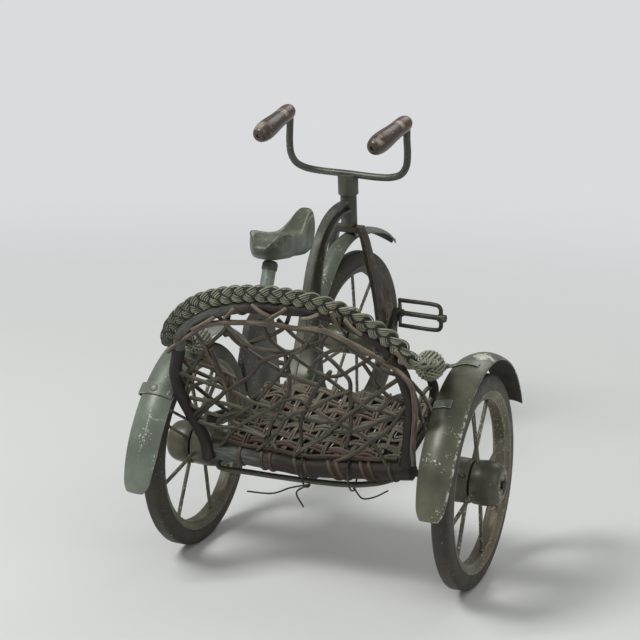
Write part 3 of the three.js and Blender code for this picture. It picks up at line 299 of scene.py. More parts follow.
def worn_paint(name, plain, shade, pale, wear=0.5, roughness=0.42, metallic=0.15, edge_mm=1.0, placed=None):
    """Old brushed enamel on steel: cloudy, with painted shade in the hollows, rubbed pale along its
    edges, with groups of fine chips and hair scratches. Wear is the share of it that is rubbed;
    placed adds marks where this one piece has them."""
    made, tree, shader = principled(name, roughness, Metallic=metallic)
    here = add(tree, "ShaderNodeTexCoord").outputs["Object"]
    clouds = speckle(tree, here, 0.035, 0.32, 0.66)
    groups = speckle(tree, here, 0.05, 0.62 - 0.2 * wear, 0.7 - 0.2 * wear, 2.0)
    flecks = speckle(tree, here, 0.62, 0.6, 0.63, 8.0, within=[groups])
    hairs = speckle(tree, here, 0.8, 0.66, 0.7, 3.0, 1.5, (1.0, 0.12), [groups])
    hairs = add(tree, "ShaderNodeMath", {"operation": "MULTIPLY"}, {0: hairs, 1: 0.6})
    rounded = add(tree, "ShaderNodeBevel", {"samples": 4}, {"Radius": edge_mm * MM})
    straight = add(tree, "ShaderNodeNewGeometry").outputs["Normal"]
    facing = add(tree, "ShaderNodeVectorMath", {"operation": "DOT_PRODUCT"}, {0: rounded, 1: straight})
    edges = add(tree, "ShaderNodeMapRange", inputs={
        "From Min": 0.98, "From Max": 0.88, "Value": facing.outputs["Value"]})
    marks = speckle(tree, here, 0.13, 0.56 - 0.16 * wear, 0.64 - 0.16 * wear, 6.0, within=[edges])
    for more in [flecks, hairs] + ([placed(tree, here)] if placed else []):
        marks = add(tree, "ShaderNodeMath", {"operation": "MAXIMUM"}, {0: marks, 1: more})
    # The near-black laid over the hollows is painted shade.
    colour = layers(tree, shade, (clouds, plain), (speckle(tree, here, 0.22, 0.3, 0.75, 6.0), shade, 0.42),
                    (hollows(tree, 6, 0.7, 0.2), "24211b", 0.75), (marks, pale, 0.85))
    relief = add(tree, "ShaderNodeMath", {"operation": "MULTIPLY_ADD"},
                 {0: marks, 1: -0.5, 2: speckle(tree, here, 0.1, 0.2, 0.8, 6.0)})
    surfaced(tree, shader, colour, relief, 0.3, 0.35, (clouds, roughness + 0.1, roughness - 0.05))
    return made


rim_paints = {
    "left": worn_paint("brushed_olive_rim_enamel", "6f6d5b", "4b483c", "a19b84", 0.6, 0.46),
    "right": worn_paint("scratched_tan_rim_enamel", "827a63", "5a5344", "b5ac90", 1.0, 0.44),
    "front": worn_paint("brown_front_rim_enamel", "5f5a4b", "3f3a30", "928a74", 0.5, 0.48),
}
spoke_paint = worn_paint("chipped_spoke_enamel", "75735f", "45433a", "c2ba9b", 1.2, 0.42)
rim_width = 8 * MM
rim_thickness, rim_groove, rim_fit = 2.4 * MM, 0.6 * MM, 0.3 * MM
spoke_radius = 1.45 * MM
spoke_dish, spoke_bite = 3.4 * MM, 2.2 * MM
barrel_radii = {"left": 15.8 * MM, "right": 15.8 * MM, "front": 13 * MM}


def spline(points, per_span=8):
    """The smooth line through the points, with even speed by distance, as the CAD draws it."""
    p = [Vector(q) for q in points]
    if len(p) == 2:
        return [p[0].lerp(p[1], t) for t in np.linspace(0, 1, per_span + 1)]
    p = [2 * p[0] - p[1]] + p + [2 * p[-1] - p[-2]]
    made = []
    for i in range(1, len(p) - 2):
        x0, x1, x2, x3 = p[i - 1:i + 3]
        a, b, c = ((v - u).length ** 0.5 for u, v in ((x0, x1), (x1, x2), (x2, x3)))
        m1 = b * ((x1 - x0) / a - (x2 - x0) / (a + b) + (x2 - x1) / b)
        m2 = b * ((x2 - x1) / b - (x3 - x1) / (b + c) + (x3 - x2) / c)
        for t in np.linspace(0, 1, per_span, endpoint=False):
            made.append(x1 + m1 * t + (-3 * x1 + 3 * x2 - 2 * m1 - m2) * t ** 2
                        + (2 * x1 - 2 * x2 + m1 + m2) * t ** 3)
    return made + [p[-2]]


def along_line(line, first=None):
    """Direction and two side vectors at each point of a line, turning as little as it can."""
    ahead = [(line[min(i + 1, len(line) - 1)] - line[max(i - 1, 0)]).normalized() for i in range(len(line))]
    side = first.copy() if first else ahead[0].orthogonal()
    made = []
    for run in ahead:
        side = (side - run * side.dot(run)).normalized()
        made.append((run, side, run.cross(side)))
    return made


def lengths_along(line):
    """The length of the line up to each of its points."""
    return np.concatenate([[0], np.cumsum([(b - a).length for a, b in zip(line, line[1:])])])


def rod_faces(rings, sides):
    """Quads between rings of corners, and a face over each end."""
    made = [[i * sides + j, i * sides + (j + 1) % sides, (i + 1) * sides + (j + 1) % sides, (i + 1) * sides + j]
            for i in range(rings - 1) for j in range(sides)]
    return made + [list(range(sides)), [rings * sides - 1 - k for k in range(sides)]]


def tube(line, radius, sides=10, seed=0.0, flat=1.0, first=None, rough=0.0):
    """A rod along a line with rounded ends. radius is a number or a function of the share of the
    length; rough is the share by which the radius wanders, seeded so that no two are alike."""
    lengths = lengths_along(line)
    size = radius if callable(radius) else (lambda share: radius)
    end_out, end_size = 0.35, 0.5
    corners, grain = [], []
    rings = list(zip(line, along_line(line, first), lengths))
    stations = [(rings[0], -end_out, end_size)] + [(r, 0, 1) for r in rings] + [(rings[-1], end_out, end_size)]
    for (point, (run, side, other), length), out, shrink in stations:
        full = size(length / lengths[-1])
        r = full * shrink
        for k in range(sides):
            turn = 2 * math.pi * k / sides
            wander = 1 + rough * noise.noise(Vector((length * 90, seed, 1.3 * math.cos(turn)))) if rough else 1
            step = side * (r * wander * math.cos(turn)) + other * (r * flat * wander * math.sin(turn))
            corners.append(point + step + run * (out * full))
            grain.append((r * math.cos(turn) + seed, r * math.sin(turn), length))
    return corners, rod_faces(len(stations), sides), grain


def merged(shapes):
    """Several shapes as one."""
    corners, faces, grain = [], [], []
    for more, sides, marks in shapes:
        faces += [[v + len(corners) for v in f] for f in sides]
        corners += [tuple(v) for v in more]
        grain += [tuple(g) for g in marks]
    return corners, faces, grain


def spokes(rim_radius, barrel_radius, first_degrees):
    """Eight wires from the hub's groove to the rim, set by turns to its two sides."""
    made = []
    for i in range(8):
        turn = math.radians(first_degrees) + math.pi * i / 4
        outward = Vector((0, math.cos(turn), math.sin(turn)))
        side = -1 if i % 2 else 1
        inside = outward * (barrel_radius - spoke_bite) + Vector((side * spoke_dish, 0, 0))
        outside = outward * (rim_radius - rim_thickness / 2) + Vector((side * rim_width / 4, 0, 0))
        made.append(tube(spline([inside, outside], 10), spoke_radius, 10, i, rough=0.1))
    return merged(made)


def rim(outer):
    """The rolled rim and the paint that goes on over the inner shoulders of its tyre."""
    def both_sides(half, middle=()):
        right = [(x * MM, outer + r * MM) for x, r in half]
        return [(-x, r) for x, r in right] + list(middle) + right[::-1]

    face = [(6.75, 3.9), (6.45, 2.2), (5.5, 0.75), (4.6, 0.0), (4.2, -1.4), (3.9, -2.1), (3.2, -2.3),
            (1.5, -1.9)]
    back = both_sides([(6.3, 4.0), (5.2, 1.9), (4.2, 0.3)])
    return turned(both_sides(face, [(0, outer - rim_thickness + rim_groove)]) + back[::-1], 96)


wheels = [(side, place, wheel_radius - wheel_depth, 14, f"rear_rim_and_spokes_{side}")
          for side, place in wheel_places.items()]
wheels.append(("front", steered, front_radius - front_depth, 1, "front_rim_and_spokes"))
for side, place, seat, degrees, node in wheels:
    seat -= rim_fit
    piece(f"rim_{side}", rim(seat), rim_paints[side], node, place)
    piece(f"spokes_{side}", spokes(seat, barrel_radii[side], degrees), spoke_paint, node, place)


# Hubs
# Turned wooden barrels with a groove where the spokes meet, painted and then handled smooth, so
# that fine rings from the lathe and a dull shine show.

# Painted wood, turned: fine rings round the barrel, cloudy patches and a dull shine from hands.
hub_wood, tree, shader = principled("turned_and_painted_hub_wood", 0.42, Specular_IOR_Level=0.5)
here = add(tree, "ShaderNodeTexCoord").outputs["Object"]
grain = add(tree, "ShaderNodeAttribute", {"attribute_name": "grain"}).outputs["Vector"]
rings = speckle(tree, grain, 0.8, 0.3, 0.7, drawn=(0.12, 1.0))
patches = speckle(tree, here, 0.07, 0.35, 0.65)
colour = layers(tree, "38372c", (rings, "4e4b3c", 0.6), (patches, "5d5c4d", 0.7),
                (speckle(tree, here, 0.4, 0.69, 0.71, 6.0), "8f8a76"))
surfaced(tree, shader, colour, rings, 0.08, 0.4, (patches, 0.44, 0.3))

barrel_shares = [(0.4, 1.0), (0.55, 0.985), (0.7, 0.96), (0.8, 0.915), (0.88, 0.86), (0.94, 0.79), (0.98, 0.72),
                 (1, 0.64)]
groove_half, groove_lip, groove_edge, groove_depth = 0.8 * MM, 0.85 * MM, 1.5 * MM, 4 * MM
end_dish, bore_radius = 0.5 * MM, 2.9 * MM


def hub(inner_length, outer_length, radius):
    """A barrel with a groove round its middle, of two lengths to the sides of it."""
    def half(length):
        return [(groove_half, radius - groove_depth), (groove_lip, 0.94 * radius),
                (groove_edge, 0.972 * radius),
                *((a * length, r * radius) for a, r in barrel_shares),
                (length, 0.45 * radius), (length - end_dish, 0.43 * radius), (length - end_dish, bore_radius)]
    return turned([(-a, r) for a, r in reversed(half(inner_length))] + half(outer_length), 64)


def dome(centre, up, radius, height, sides=20):
    """A rivet head: a low dome on a point, facing up."""
    up = up.normalized()
    side = up.orthogonal().normalized()
    other = up.cross(side)
    corners, levels = [], 6
    for k in range(levels + 1):
        lift, out = math.sin(k / levels * math.pi / 2), math.cos(k / levels * math.pi / 2)
        for j in range(sides):
            turn = 2 * math.pi * j / sides
            outward = side * math.cos(turn) + other * math.sin(turn)
            corners.append(centre + up * (height * lift) + outward * max(radius * out, 0.02 * MM))
    return corners, rod_faces(levels + 1, sides), [tuple(c) for c in corners]


def nail_ring(x, ring_radius, count):
    """A ring of small tack heads, rubbed bright, on the end face of a hub."""
    made = []
    for k in range(count):
        turn = 2 * math.pi * k / count
        foot = Vector((x, ring_radius * math.cos(turn), ring_radius * math.sin(turn)))
        made.append(dome(foot, Vector((1, 0, 0)), tack_radius, tack_height, 12))
    return merged(made)


def bare_metal(name, roughness, metallic, dark, bright, *patches):
    """Metal with no paint on it, dark with age and rubbed bright in patches."""
    made, tree, shader = principled(name, roughness, Metallic=metallic)
    here = add(tree, "ShaderNodeTexCoord").outputs["Object"]
    tree.links.new(layers(tree, dark, (speckle(tree, here, *patches), bright)), shader.inputs["Base Color"])
    return made


hub_long, hub_short, front_hub_half = 27 * MM, 20.5 * MM, 27.2 * MM
tack_radius, tack_height, tack_sunk, tack_ring = 0.85 * MM, 0.45 * MM, 0.05 * MM, 8.7 * MM
tack_metal = bare_metal("rubbed_tack_heads", 0.4, 0.6, "7a7666", "c4bfab", 0.5, 0.4, 0.6)
flipped = Matrix.Diagonal((-1, 1, 1, 1))
for side, place in wheel_places.items():
    facing = place @ flipped if side == "left" else place
    barrel = hub(hub_long, hub_short, barrel_radii[side])
    piece(f"hub_{side}", barrel, hub_wood, f"rear_hub_{side}", facing)
    piece(f"hub_tacks_{side}", nail_ring(hub_short - tack_sunk, tack_ring, 11), tack_metal,
          f"rear_hub_{side}", facing)
front_barrel = hub(front_hub_half, front_hub_half, barrel_radii["front"])
piece("hub_front", front_barrel, hub_wood, "front_hub", steered)


# Rear fenders
# Thin sheet steel beaten to a crown over each wheel, painted like the rims, and rubbed to pale
# metal along its edges and down the middle of its crown.
def shell(name, place_at, columns, rows, thickness, finishes, slot, node, place):
    """A crowned sheet from a function of two shares, given its thickness and soft edges. Its two
    finishes are the outside's and the hidden inside's; its grain is the shares themselves."""
    shares = [(i / columns, j / rows, 0) for j in range(rows + 1) for i in range(columns + 1)]
    faces = [[j * (columns + 1) + i, j * (columns + 1) + i + 1, (j + 1) * (columns + 1) + i + 1,
              (j + 1) * (columns + 1) + i] for j in range(rows) for i in range(columns)]
    mesh = bpy.data.meshes.new(name)
    mesh.from_pydata([tuple(place_at(across, along)) for across, along, _ in shares], [], faces)
    marks = mesh.attributes.new("grain", "FLOAT_VECTOR", "POINT")
    marks.data.foreach_set("vector", np.array(shares, np.float32).ravel())
    for finish in finishes:
        mesh.materials.append(finish)
    mesh.transform(place)
    middle = sum((p.center for p in mesh.polygons), Vector()) / len(mesh.polygons)
    if sum(p.normal.dot(p.center - middle) for p in mesh.polygons) < 0:
        mesh.flip_normals()
    sheet = bpy.data.objects.new(name + "_sheet", mesh)
    bpy.context.scene.collection.objects.link(sheet)
    solid = sheet.modifiers.new("thickness", "SOLIDIFY")
    solid.thickness, solid.offset, solid.material_offset = thickness, 0, 1
    return softened(sheet, name, finishes[0], node, 0.3 * MM, 2, 60)


def softened(source, name, finish, node, width, segments, degrees):
    """The object as a piece, with its edges rounded and its modifiers applied."""
    soft = source.modifiers.new("edges", "BEVEL")
    soft.width, soft.segments = width, segments
    soft.limit_method, soft.angle_limit = "ANGLE", math.radians(degrees)
    bpy.context.view_layer.update()
    result = source.evaluated_get(bpy.context.evaluated_depsgraph_get())
    mesh = bpy.data.meshes.new_from_object(result)
    bpy.data.objects.remove(source)
    return shown(mesh, name, finish, node)


fender_radius, fender_half = 88.5 * MM, 12 * MM
crown_drop = 4 * MM
sheet, fender_flare = 1 * MM, 6 * MM


def fender_point(degrees, side, lift):
    turn = math.radians(degrees)
    radius = fender_radius + lift - crown_drop * min(side * side, 1)
    return Vector((side * fender_half, radius * math.cos(turn), radius * math.sin(turn)))


def risen(start, along):
    """Nothing before this share, and from there rising to 1 at the end."""
    return max((along - start) / (1 - start), 0) ** 2


def fender(front, rear):
    """A fender's sheet from one angle to another: narrow at the front, and flared and drawn in
    toward its rear end."""
    def at(across, along):
        width = 0.8 + 0.2 * min(along / 0.5, 1)
        width *= (1 - 0.26 * risen(0.82, along)) * math.sqrt(1 - 0.5 * risen(0.965, along))
        return fender_point(front + (rear - front) * along, (2 * across - 1) * width,
                            sheet / 2 + fender_flare * risen(0.7, along))
    return at


def band(tree, value, middle, half, soft):
    """1 where a value lies within half of middle, falling to 0 over soft."""
    off = add(tree, "ShaderNodeMath", {"operation": "SUBTRACT"}, {0: value, 1: middle})
    off = add(tree, "ShaderNodeMath", {"operation": "ABSOLUTE"}, {0: off})
    return add(tree, "ShaderNodeMapRange", inputs={"From Min": half + soft, "From Max": half, "Value": off})


def left_marks(tree, here):
    """A broken chain of chips down the crown of the left fender, and a scratch across it."""
    grain = add(tree, "ShaderNodeAttribute", {"attribute_name": "grain"}).outputs["Vector"]
    shares = add(tree, "ShaderNodeSeparateXYZ", inputs={0: grain}).outputs
    stray = add(tree, "ShaderNodeMapRange", inputs={
        "To Min": -0.035, "To Max": 0.035, "Value": speckle(tree, here, 0.1, 0.3, 0.7)})
    across = add(tree, "ShaderNodeMath", {"operation": "ADD"}, {0: shares["X"], 1: stray})
    along = add(tree, "ShaderNodeMath", {"operation": "MULTIPLY_ADD"}, {0: stray, 1: 0.35, 2: shares["Y"]})
    chain = speckle(tree, here, 0.8, 0.5, 0.56, 6.0, within=[
        band(tree, across, 0.49, 0.004, 0.03), band(tree, along, 0.81, 0.07, 0.02)])
    scratch = speckle(tree, here, 0.5, 0.46, 0.54, within=[
        band(tree, along, 0.755, 0.0005, 0.0025), band(tree, across, 0.28, 0.18, 0.06)])
    return add(tree, "ShaderNodeMath", {"operation": "MAXIMUM"}, {0: chain, 1: scratch})


def right_marks(tree, here):
    """Chips along the outer edge of the right fender, and a ragged bare patch on its top."""
    grain = add(tree, "ShaderNodeAttribute", {"attribute_name": "grain"}).outputs["Vector"]
    shares = add(tree, "ShaderNodeSeparateXYZ", inputs={0: grain}).outputs
    edge = speckle(tree, here, 0.45, 0.5, 0.56, 6.0, within=[
        band(tree, shares["X"], 1.0, 0.03, 0.05), band(tree, shares["Y"], 0.86, 0.16, 0.06)])
    away = add(tree, "ShaderNodeVectorMath", {"operation": "SUBTRACT"}, {0: grain, 1: (0.66, 0.42, 0)})
    away = add(tree, "ShaderNodeVectorMath", {"operation": "MULTIPLY"}, {0: away, 1: (0.8, 6, 1)})
    away = add(tree, "ShaderNodeVectorMath", {"operation": "LENGTH"}, {0: away}).outputs["Value"]
    ragged = add(tree, "ShaderNodeMath", {"operation": "MULTIPLY"},
                 {0: speckle(tree, here, 0.2, 0.3, 0.7, 5.0), 1: 0.3})
    patch = add(tree, "ShaderNodeMath", {"operation": "SUBTRACT"}, {0: ragged, 1: away})
    patch = add(tree, "ShaderNodeMapRange", inputs={"From Min": -0.06, "From Max": 0.0, "Value": patch})
    return add(tree, "ShaderNodeMath", {"operation": "MAXIMUM"}, {0: edge, 1: patch})


# The left fender's enamel is paler and greener than the right's: the same paint, with painted light on the left
# one and painted shade on the right one.
fender_paints = {
    "left": worn_paint("lit_left_fender_enamel", "7e887c", "5c6257", "d0d4c6", 0.3, 0.36,
                       edge_mm=1.2, placed=left_marks),
    "right": worn_paint("shaded_right_fender_enamel", "6b6c59", "494839", "ccd0c2", 0.3, 0.36,
                        edge_mm=1.2, placed=right_marks),
}
# The inner sides of the sheets are darker than their outsides: painted shade.
shaded_inner_paint = worn_paint("shaded_inner_enamel", "3f3d34", "2b2823", "6d6a5c", 0.2, 0.6)

leaning = wheel_places["left"] @ Matrix.Rotation(math.radians(4), 4, "Y") @ flipped
fender_sides = {"left": (leaning, 50, 185), "right": (wheel_places["right"], 24, 178)}
for side, (place, front, rear) in fender_sides.items():
    shell(f"fender_sheet_{side}", fender(front, rear), 20, 90, sheet, (fender_paints[side], shaded_inner_paint),
          "sage_paint", f"fender_{side}", place)


# Fender straps and bracket
# Narrow strips bent over the fenders' crowns, each with a domed rivet, from the same painted
# sheet but rubbed paler. A leg of the bracket goes on to the right arm post.
strap_paint = worn_paint("rubbed_strap_enamel", "7f877b", "5f6559", "cdd1c4", 0.6, 0.38)
strap_sheet = 0.9 * MM
strap_lift = sheet + 0.75 * MM
rivet_lift, rivet_height = 0.4 * MM, 0.9 * MM


def strap(degrees, wide, inner, outer, curl_in, curl_out):
    """A strip over the crown, from one side share to the other. Past where an end starts to curl,
    it turns down in an arc: each curl is its radius and the angle that it turns through."""
    def at(across, along):
        side = inner + (outer - inner) * across
        round_wheel = degrees + math.degrees(wide / fender_radius) * (along - 0.5)
        for sign, end, (radius, sweep) in ((-1, inner, curl_in), (1, outer, curl_out)):
            start = end - sign * radius / fender_half
            if radius and sign * (side - start) > 0:
                turn = math.radians(sweep) * (side - start) / (end - start)
                edge = fender_point(round_wheel, start, strap_lift)
                down = Vector((0, edge.y, edge.z)).normalized()
                sideways = Vector((sign * radius * math.sin(turn), 0, 0))
                return edge + sideways - down * (radius * (1 - math.cos(turn)))
        return fender_point(round_wheel, side, strap_lift)
    return at


end_curl = (0.8 * MM, 45)
for name, node, side, degrees, wide, (inner, outer), curls, rivet_radius in (
    ("strap_left", "fender_strap_left", "left", 138, 9 * MM, (-0.95, 1.3),
     ((0, 0), (4.4 * MM, 165)), 3.1 * MM),
    ("strap_right", "fender_strap_right", "right", 128, 6 * MM, (-1, 0.1),
     ((1.2 * MM, 80), end_curl), 1.4 * MM),
    ("bracket", "fender_bracket_right", "right", 100, 5.5 * MM, (-1.5, 0.55),
     ((5 * MM, 75), end_curl), 1.4 * MM),
):
    place = fender_sides[side][0]
    shell(name, strap(degrees, wide, inner, outer, *curls), 40, 6, strap_sheet, (strap_paint, shaded_inner_paint),
          "sage_paint", node, place)
    head = fender_point(degrees, (inner + outer) / 2, strap_lift + rivet_lift)
    rivet = dome(head, Vector((0, head.y, head.z)), rivet_radius, rivet_height)
    piece(name + "_rivet", rivet, strap_paint, node, place)


def metres(points):
    """Points in millimetres as vectors in metres."""
    return [Vector(p) * MM for p in points]


leg_radius = 1.9 * MM
leg = spline(metres([(197.9, -14.9, 159.5), (192.93, -34.65, 161.04)]), 8)
piece("bracket_leg", tube(leg, leg_radius, 12), strap_paint, "fender_bracket_right")


# Axle, chassis rod, stays, mast, fork, cranks
# Forged and bent iron, painted once and now dark with handling: the shapes of the CAD solids with
# their edges eased, as a file leaves them.
dark_iron = worn_paint("handled_dark_iron", "45443b", "2f2d28", "87836f", 0.5, 0.42, 0.3, 0.8)
fork_iron = worn_paint("handled_fork_iron", "4b463d", "37332c", "938d78", 0.5, 0.38, 0.25, 0.8)
olive_paint = worn_paint("brushed_olive_enamel", "595a4d", "43433a", "918f7d", 0.5, 0.4)


def eased(node, finish, width=0.45 * MM):
    """A copy of a CAD solid with its flat faces whole and its edges rounded."""
    mesh = frame["nodes"][node].data.copy()
    body = bmesh.new()
    body.from_mesh(mesh)
    bmesh.ops.remove_doubles(body, verts=body.verts, dist=0.002 * MM)
    bmesh.ops.dissolve_limit(body, angle_limit=math.radians(2), verts=body.verts, edges=body.edges)
    body.to_mesh(mesh)
    body.free()
    mesh.materials.clear()
    blank = bpy.data.objects.new(node + "_blank", mesh)
    bpy.context.scene.collection.objects.link(blank)
    return softened(blank, "eased_" + node, finish, node, width, 3, 35)


for node in ("axle_bar", "axle_nut_left", "axle_nut_right", "rear_stay_left", "rear_stay_right",
             "seat_mast", "crank_left", "crank_right"):
    eased(node, dark_iron)
eased("fork", fork_iron)
chassis_radius = 2 * MM
chassis_mm = [(40.66, 0, 75), (33.17, -22.5, 73.88), (37.45, -39, 73.5), (62.06, -39.75, 73.13),
              (107, -40.5, 73.5), (141.24, -41.25, 75.75), (158.36, -37.5, 78.38), (165.31, -18.75, 77.25),
              (166.92, 0, 75)]
chassis_line = spline(metres(chassis_mm), 10)
piece("chassis_loop", tube(chassis_line, chassis_radius, 14, 3, rough=0.05), olive_paint,
      "chassis_rod")


# Frame strips and head tube
# Two strips of flat iron bent from the head down to the seat and the rear wheel, painted olive,
# and a short tube for the steerer.
for node in ("frame_main_strap", "frame_inner_strap", "head_tube"):
    eased(node, olive_paint)


# Pedals
# Open cages bent from round iron rod, each with a plate at its inner end and a pin between two
# bosses along its middle, on which it turns on its crank. Painted once, and dark with handling.
pedal_inner, pedal_outer = 37.1 * MM, 80.1 * MM
pedal_centre = Vector((0, 20.138, 24.869)) * MM
cage_half, cage_rod = 11.8 * MM, 1.9 * MM
cage_shares = [(0, 1), (0.84, 1), (0.95, 0.93), (1, 0.7), (1, 0)]
plate_mm = [(0.1, 0.4), (0.1, 4.4), (1.6, 4.4), (1.6, 0.4)]
boss_length, boss_radius, pin_radius = 4 * MM, 3.5 * MM, 2.3 * MM


def pin(start, end, radius, sides):
    """A round pin on the pedal's axis from one place along it to another."""
    return tube([pedal_centre + Vector((x, 0, 0)) for x in (start, end)], radius, sides)


for side, sign in (("right", 1), ("left", -1)):
    span = pedal_outer - pedal_inner - cage_rod
    half = [Vector((pedal_inner + a * span, 0, u * cage_half)) for a, u in cage_shares]
    route = half + [Vector((p.x, 0, -p.z)) for p in reversed(half[:-1])]
    cage = tube([p + pedal_centre for p in spline(route, 8)], cage_rod, 12, sign)
    corners, faces, marks = turned([(pedal_inner + x * MM, r * MM) for x, r in plate_mm], 24, False)
    plate = [(x, y * 0.6 + pedal_centre.y, z * 3.1 + pedal_centre.z) for x, y, z in corners], faces, marks
    bosses = [pin(pedal_inner, pedal_inner + boss_length, boss_radius, 20),
              pin(pedal_outer - boss_length, pedal_outer, boss_radius, 20)]
    shape = merged([cage, plate, *bosses, pin(pedal_inner, pedal_outer, pin_radius, 14)])
    piece(f"pedal_cage_{side}", shape, dark_iron, f"pedal_{side}",
          steered @ Matrix.Diagonal((sign, sign, sign, 1)))


# Handlebar, stem and grips
# One round bar bent to a wide U, set in a short cup, with a turned wooden grip hooked over each
# end. The grips' varnish is rubbed to pale wood at the nose and the tail, on their upper sides,
# where the pale is partly a painted highlight.
bar_paint = worn_paint("handled_bar_enamel", "5c5f53", "44453b", "9a9b8a", 0.5, 0.36, 0.25)
bar_radius, stem_edge = 3.1 * MM, 0.7 * MM
bar_mm = [(-57.92, 256.3, 277.12), (-56.92, 271.16, 281.4), (-55.93, 286.02, 285.68), (-55.85, 289.36, 281.43),
          (-56.35, 290.3, 271.29), (-57.19, 291.5, 258.61), (-56.26, 292.33, 247.91), (-51.8, 292.5, 240.66),
          (-43.8, 291.98, 236.86), (-31.72, 290.88, 234.97), (0, 287.61, 234.02), (31.72, 284.35, 233.06),
          (43.86, 282.97, 234.22), (52.01, 281.82, 237.53), (56.77, 280.71, 244.5), (58.15, 279.63, 255.13),
          (57.84, 278.55, 267.84), (57.76, 277.67, 278.01), (57.42, 274.36, 282.27), (55.11, 259.64, 278.02),
          (52.8, 244.91, 273.78)]
piece("bent_bar", tube(spline(metres(bar_mm), 8), bar_radius, 18, 5), bar_paint, "handlebar")
eased("stem", bar_paint, stem_edge)

# Turned wood under old varnish: dark red-brown with a soft gloss, and pale where it is rubbed. Near
# the nose and the tail the pale goes only on the upper sides, so it is partly a painted highlight.
grip_wood, tree, shader = principled("turned_and_varnished_grip_wood", 0.35, Coat_Weight=0.25)
here = add(tree, "ShaderNodeTexCoord").outputs["Object"]
grain = add(tree, "ShaderNodeAttribute", {"attribute_name": "grain"}).outputs["Vector"]
fibres = speckle(tree, grain, 0.9, 0.35, 0.65, drawn=(1.0, 0.14))
along = add(tree, "ShaderNodeSeparateXYZ", inputs={0: grain}).outputs["Z"]
normal = add(tree, "ShaderNodeNewGeometry").outputs["Normal"]
level = add(tree, "ShaderNodeSeparateXYZ", inputs={0: normal}).outputs["Z"]
upper = add(tree, "ShaderNodeMapRange", inputs={"From Min": 0.1, "From Max": 0.5, "Value": level})
ends = add(tree, "ShaderNodeMath", {"operation": "MAXIMUM"}, {
    0: band(tree, along, 17 * MM, 2 * MM, 1.5 * MM), 1: band(tree, along, 52 * MM, 3.5 * MM, 2 * MM)})
# Pale near the ends on the upper sides only: wear with a painted highlight.
rubbed = add(tree, "ShaderNodeMath", {"operation": "MAXIMUM"}, {
    0: speckle(tree, here, 0.1, 0.42, 0.5, 3.0, within=[ends, upper]),
    1: speckle(tree, here, 0.35, 0.67, 0.7, 6.0)})
colour = layers(tree, "3b2f29", (fibres, "554439"),
                (band(tree, along, 0.0, 12 * MM, 6 * MM), layers(tree, "4a3229", (fibres, "6b4c3c"))),
                (rubbed, "9b9382"))
surfaced(tree, shader, colour, fibres, 0.15, 0.5)

grip_shares = [(-0.02, 0.05), (-0.02, 0.5), (0.0, 0.66), (0.05, 0.79), (0.1, 0.84), (0.2, 0.85), (0.3, 0.84),
               (0.4, 0.86), (0.47, 0.89), (0.56, 0.94), (0.64, 0.98), (0.72, 1), (0.78, 1), (0.84, 0.96),
               (0.89, 0.89), (0.93, 0.8), (0.96, 0.68), (0.98, 0.52), (0.99, 0.34), (0.985, 0.22), (0.96, 0.2),
               (0.95, 0.05)]
nail_brass = bare_metal("dull_brass_nail", 0.35, 1.0, "6e5c3c", "a08c62", 0.6, 0.4, 0.6)
grip_length, grip_radius = 60 * MM, 8.6 * MM
bar_height, grip_height, grip_apart = 153.6 * MM, 51 * MM, 57.13 * MM
nail_place, nail_radius, nail_height = 57.4 * MM, 1.5 * MM, 1.2 * MM
rolled = Matrix.Translation((0, 0, bar_height)) @ Matrix.Rotation(math.radians(1.2), 4, "Y")
for side, sign in (("left", -1), ("right", 1)):
    barrel = turned([(a * grip_length, r * grip_radius) for a, r in grip_shares], 48, False)
    to_end = (steered @ rolled @ Matrix.Translation((sign * grip_apart, 0, grip_height))
              @ Matrix.Rotation(math.radians(-sign * 2.5), 4, "Z") @ Matrix.Rotation(math.radians(11), 4, "X")
              @ Matrix.Rotation(math.radians(-90), 4, "Z"))
    piece(f"turned_grip_{side}", barrel, grip_wood, f"grip_{side}", to_end)
    nail = dome(Vector((nail_place, 0, 0)), Vector((1, 0, 0)), nail_radius, nail_height, 14)
    piece(f"grip_nail_{side}", nail, nail_brass, f"grip_{side}", to_end)


# Front fender
# A narrow sheet of thin steel beaten to a crown, held under the head of the fork. It is painted
# like the rear ones and ends in a pointed beak.
front_paint = worn_paint("brushed_front_fender_enamel", "6f7769", "51554a", "aeb2a3", 0.5, 0.4)
front_shares = [(-0.798, 0.444, 0.075), (-0.698, 0.569, 0.1), (-0.552, 0.698, 0.095), (-0.406, 0.828, 0.09),
                (-0.232, 0.939, 0.085), (-0.01, 0.995, 0.08), (0.22, 0.982, 0.095), (0.46, 0.925, 0.11),
                (0.67, 0.83, 0.075), (0.86, 0.71, 0.02)]


def blended(rows, share):
    """Smooth values between the rows of a table, as the CAD blends them."""
    last = len(rows) - 1
    whole = min(int(share * last), last - 1)
    t = share * last - whole
    p, q, r, s = (np.array(rows[min(max(whole + k, 0), last)], float) for k in (-1, 0, 1, 2))
    into, out = (r - p) / 2, (s - q) / 2
    bend = 2 * (q - r) + into + out
    return q + t * (into + t * (r - q - into - bend + t * bend))


front_reach = 100.7 * MM


def front_sheet(across, along):
    """A point of the front fender's sheet: its crown's line, and its drop to each side."""
    y, z, half = blended(front_shares, along) * front_reach
    y0, z0, _ = blended(front_shares, max(along - 0.01, 0))
    y1, z1, _ = blended(front_shares, min(along + 0.01, 1))
    run = Vector((y1 - y0, z1 - z0)).normalized()
    side = 2 * across - 1
    lift = -crown_drop * side * side
    return Vector((side * half, y - run.y * lift, z + run.x * lift))


shell("front_fender_sheet", front_sheet, 16, 60, sheet, (front_paint, shaded_inner_paint), "sage_paint",
      "front_fender", steered)


# Saddle and its post
# A stuffed leather pan with a raised nose and a rolled rear edge, stitched along a ridge between
# its dished top and its side wall, on a flat painted post with a dark collar.

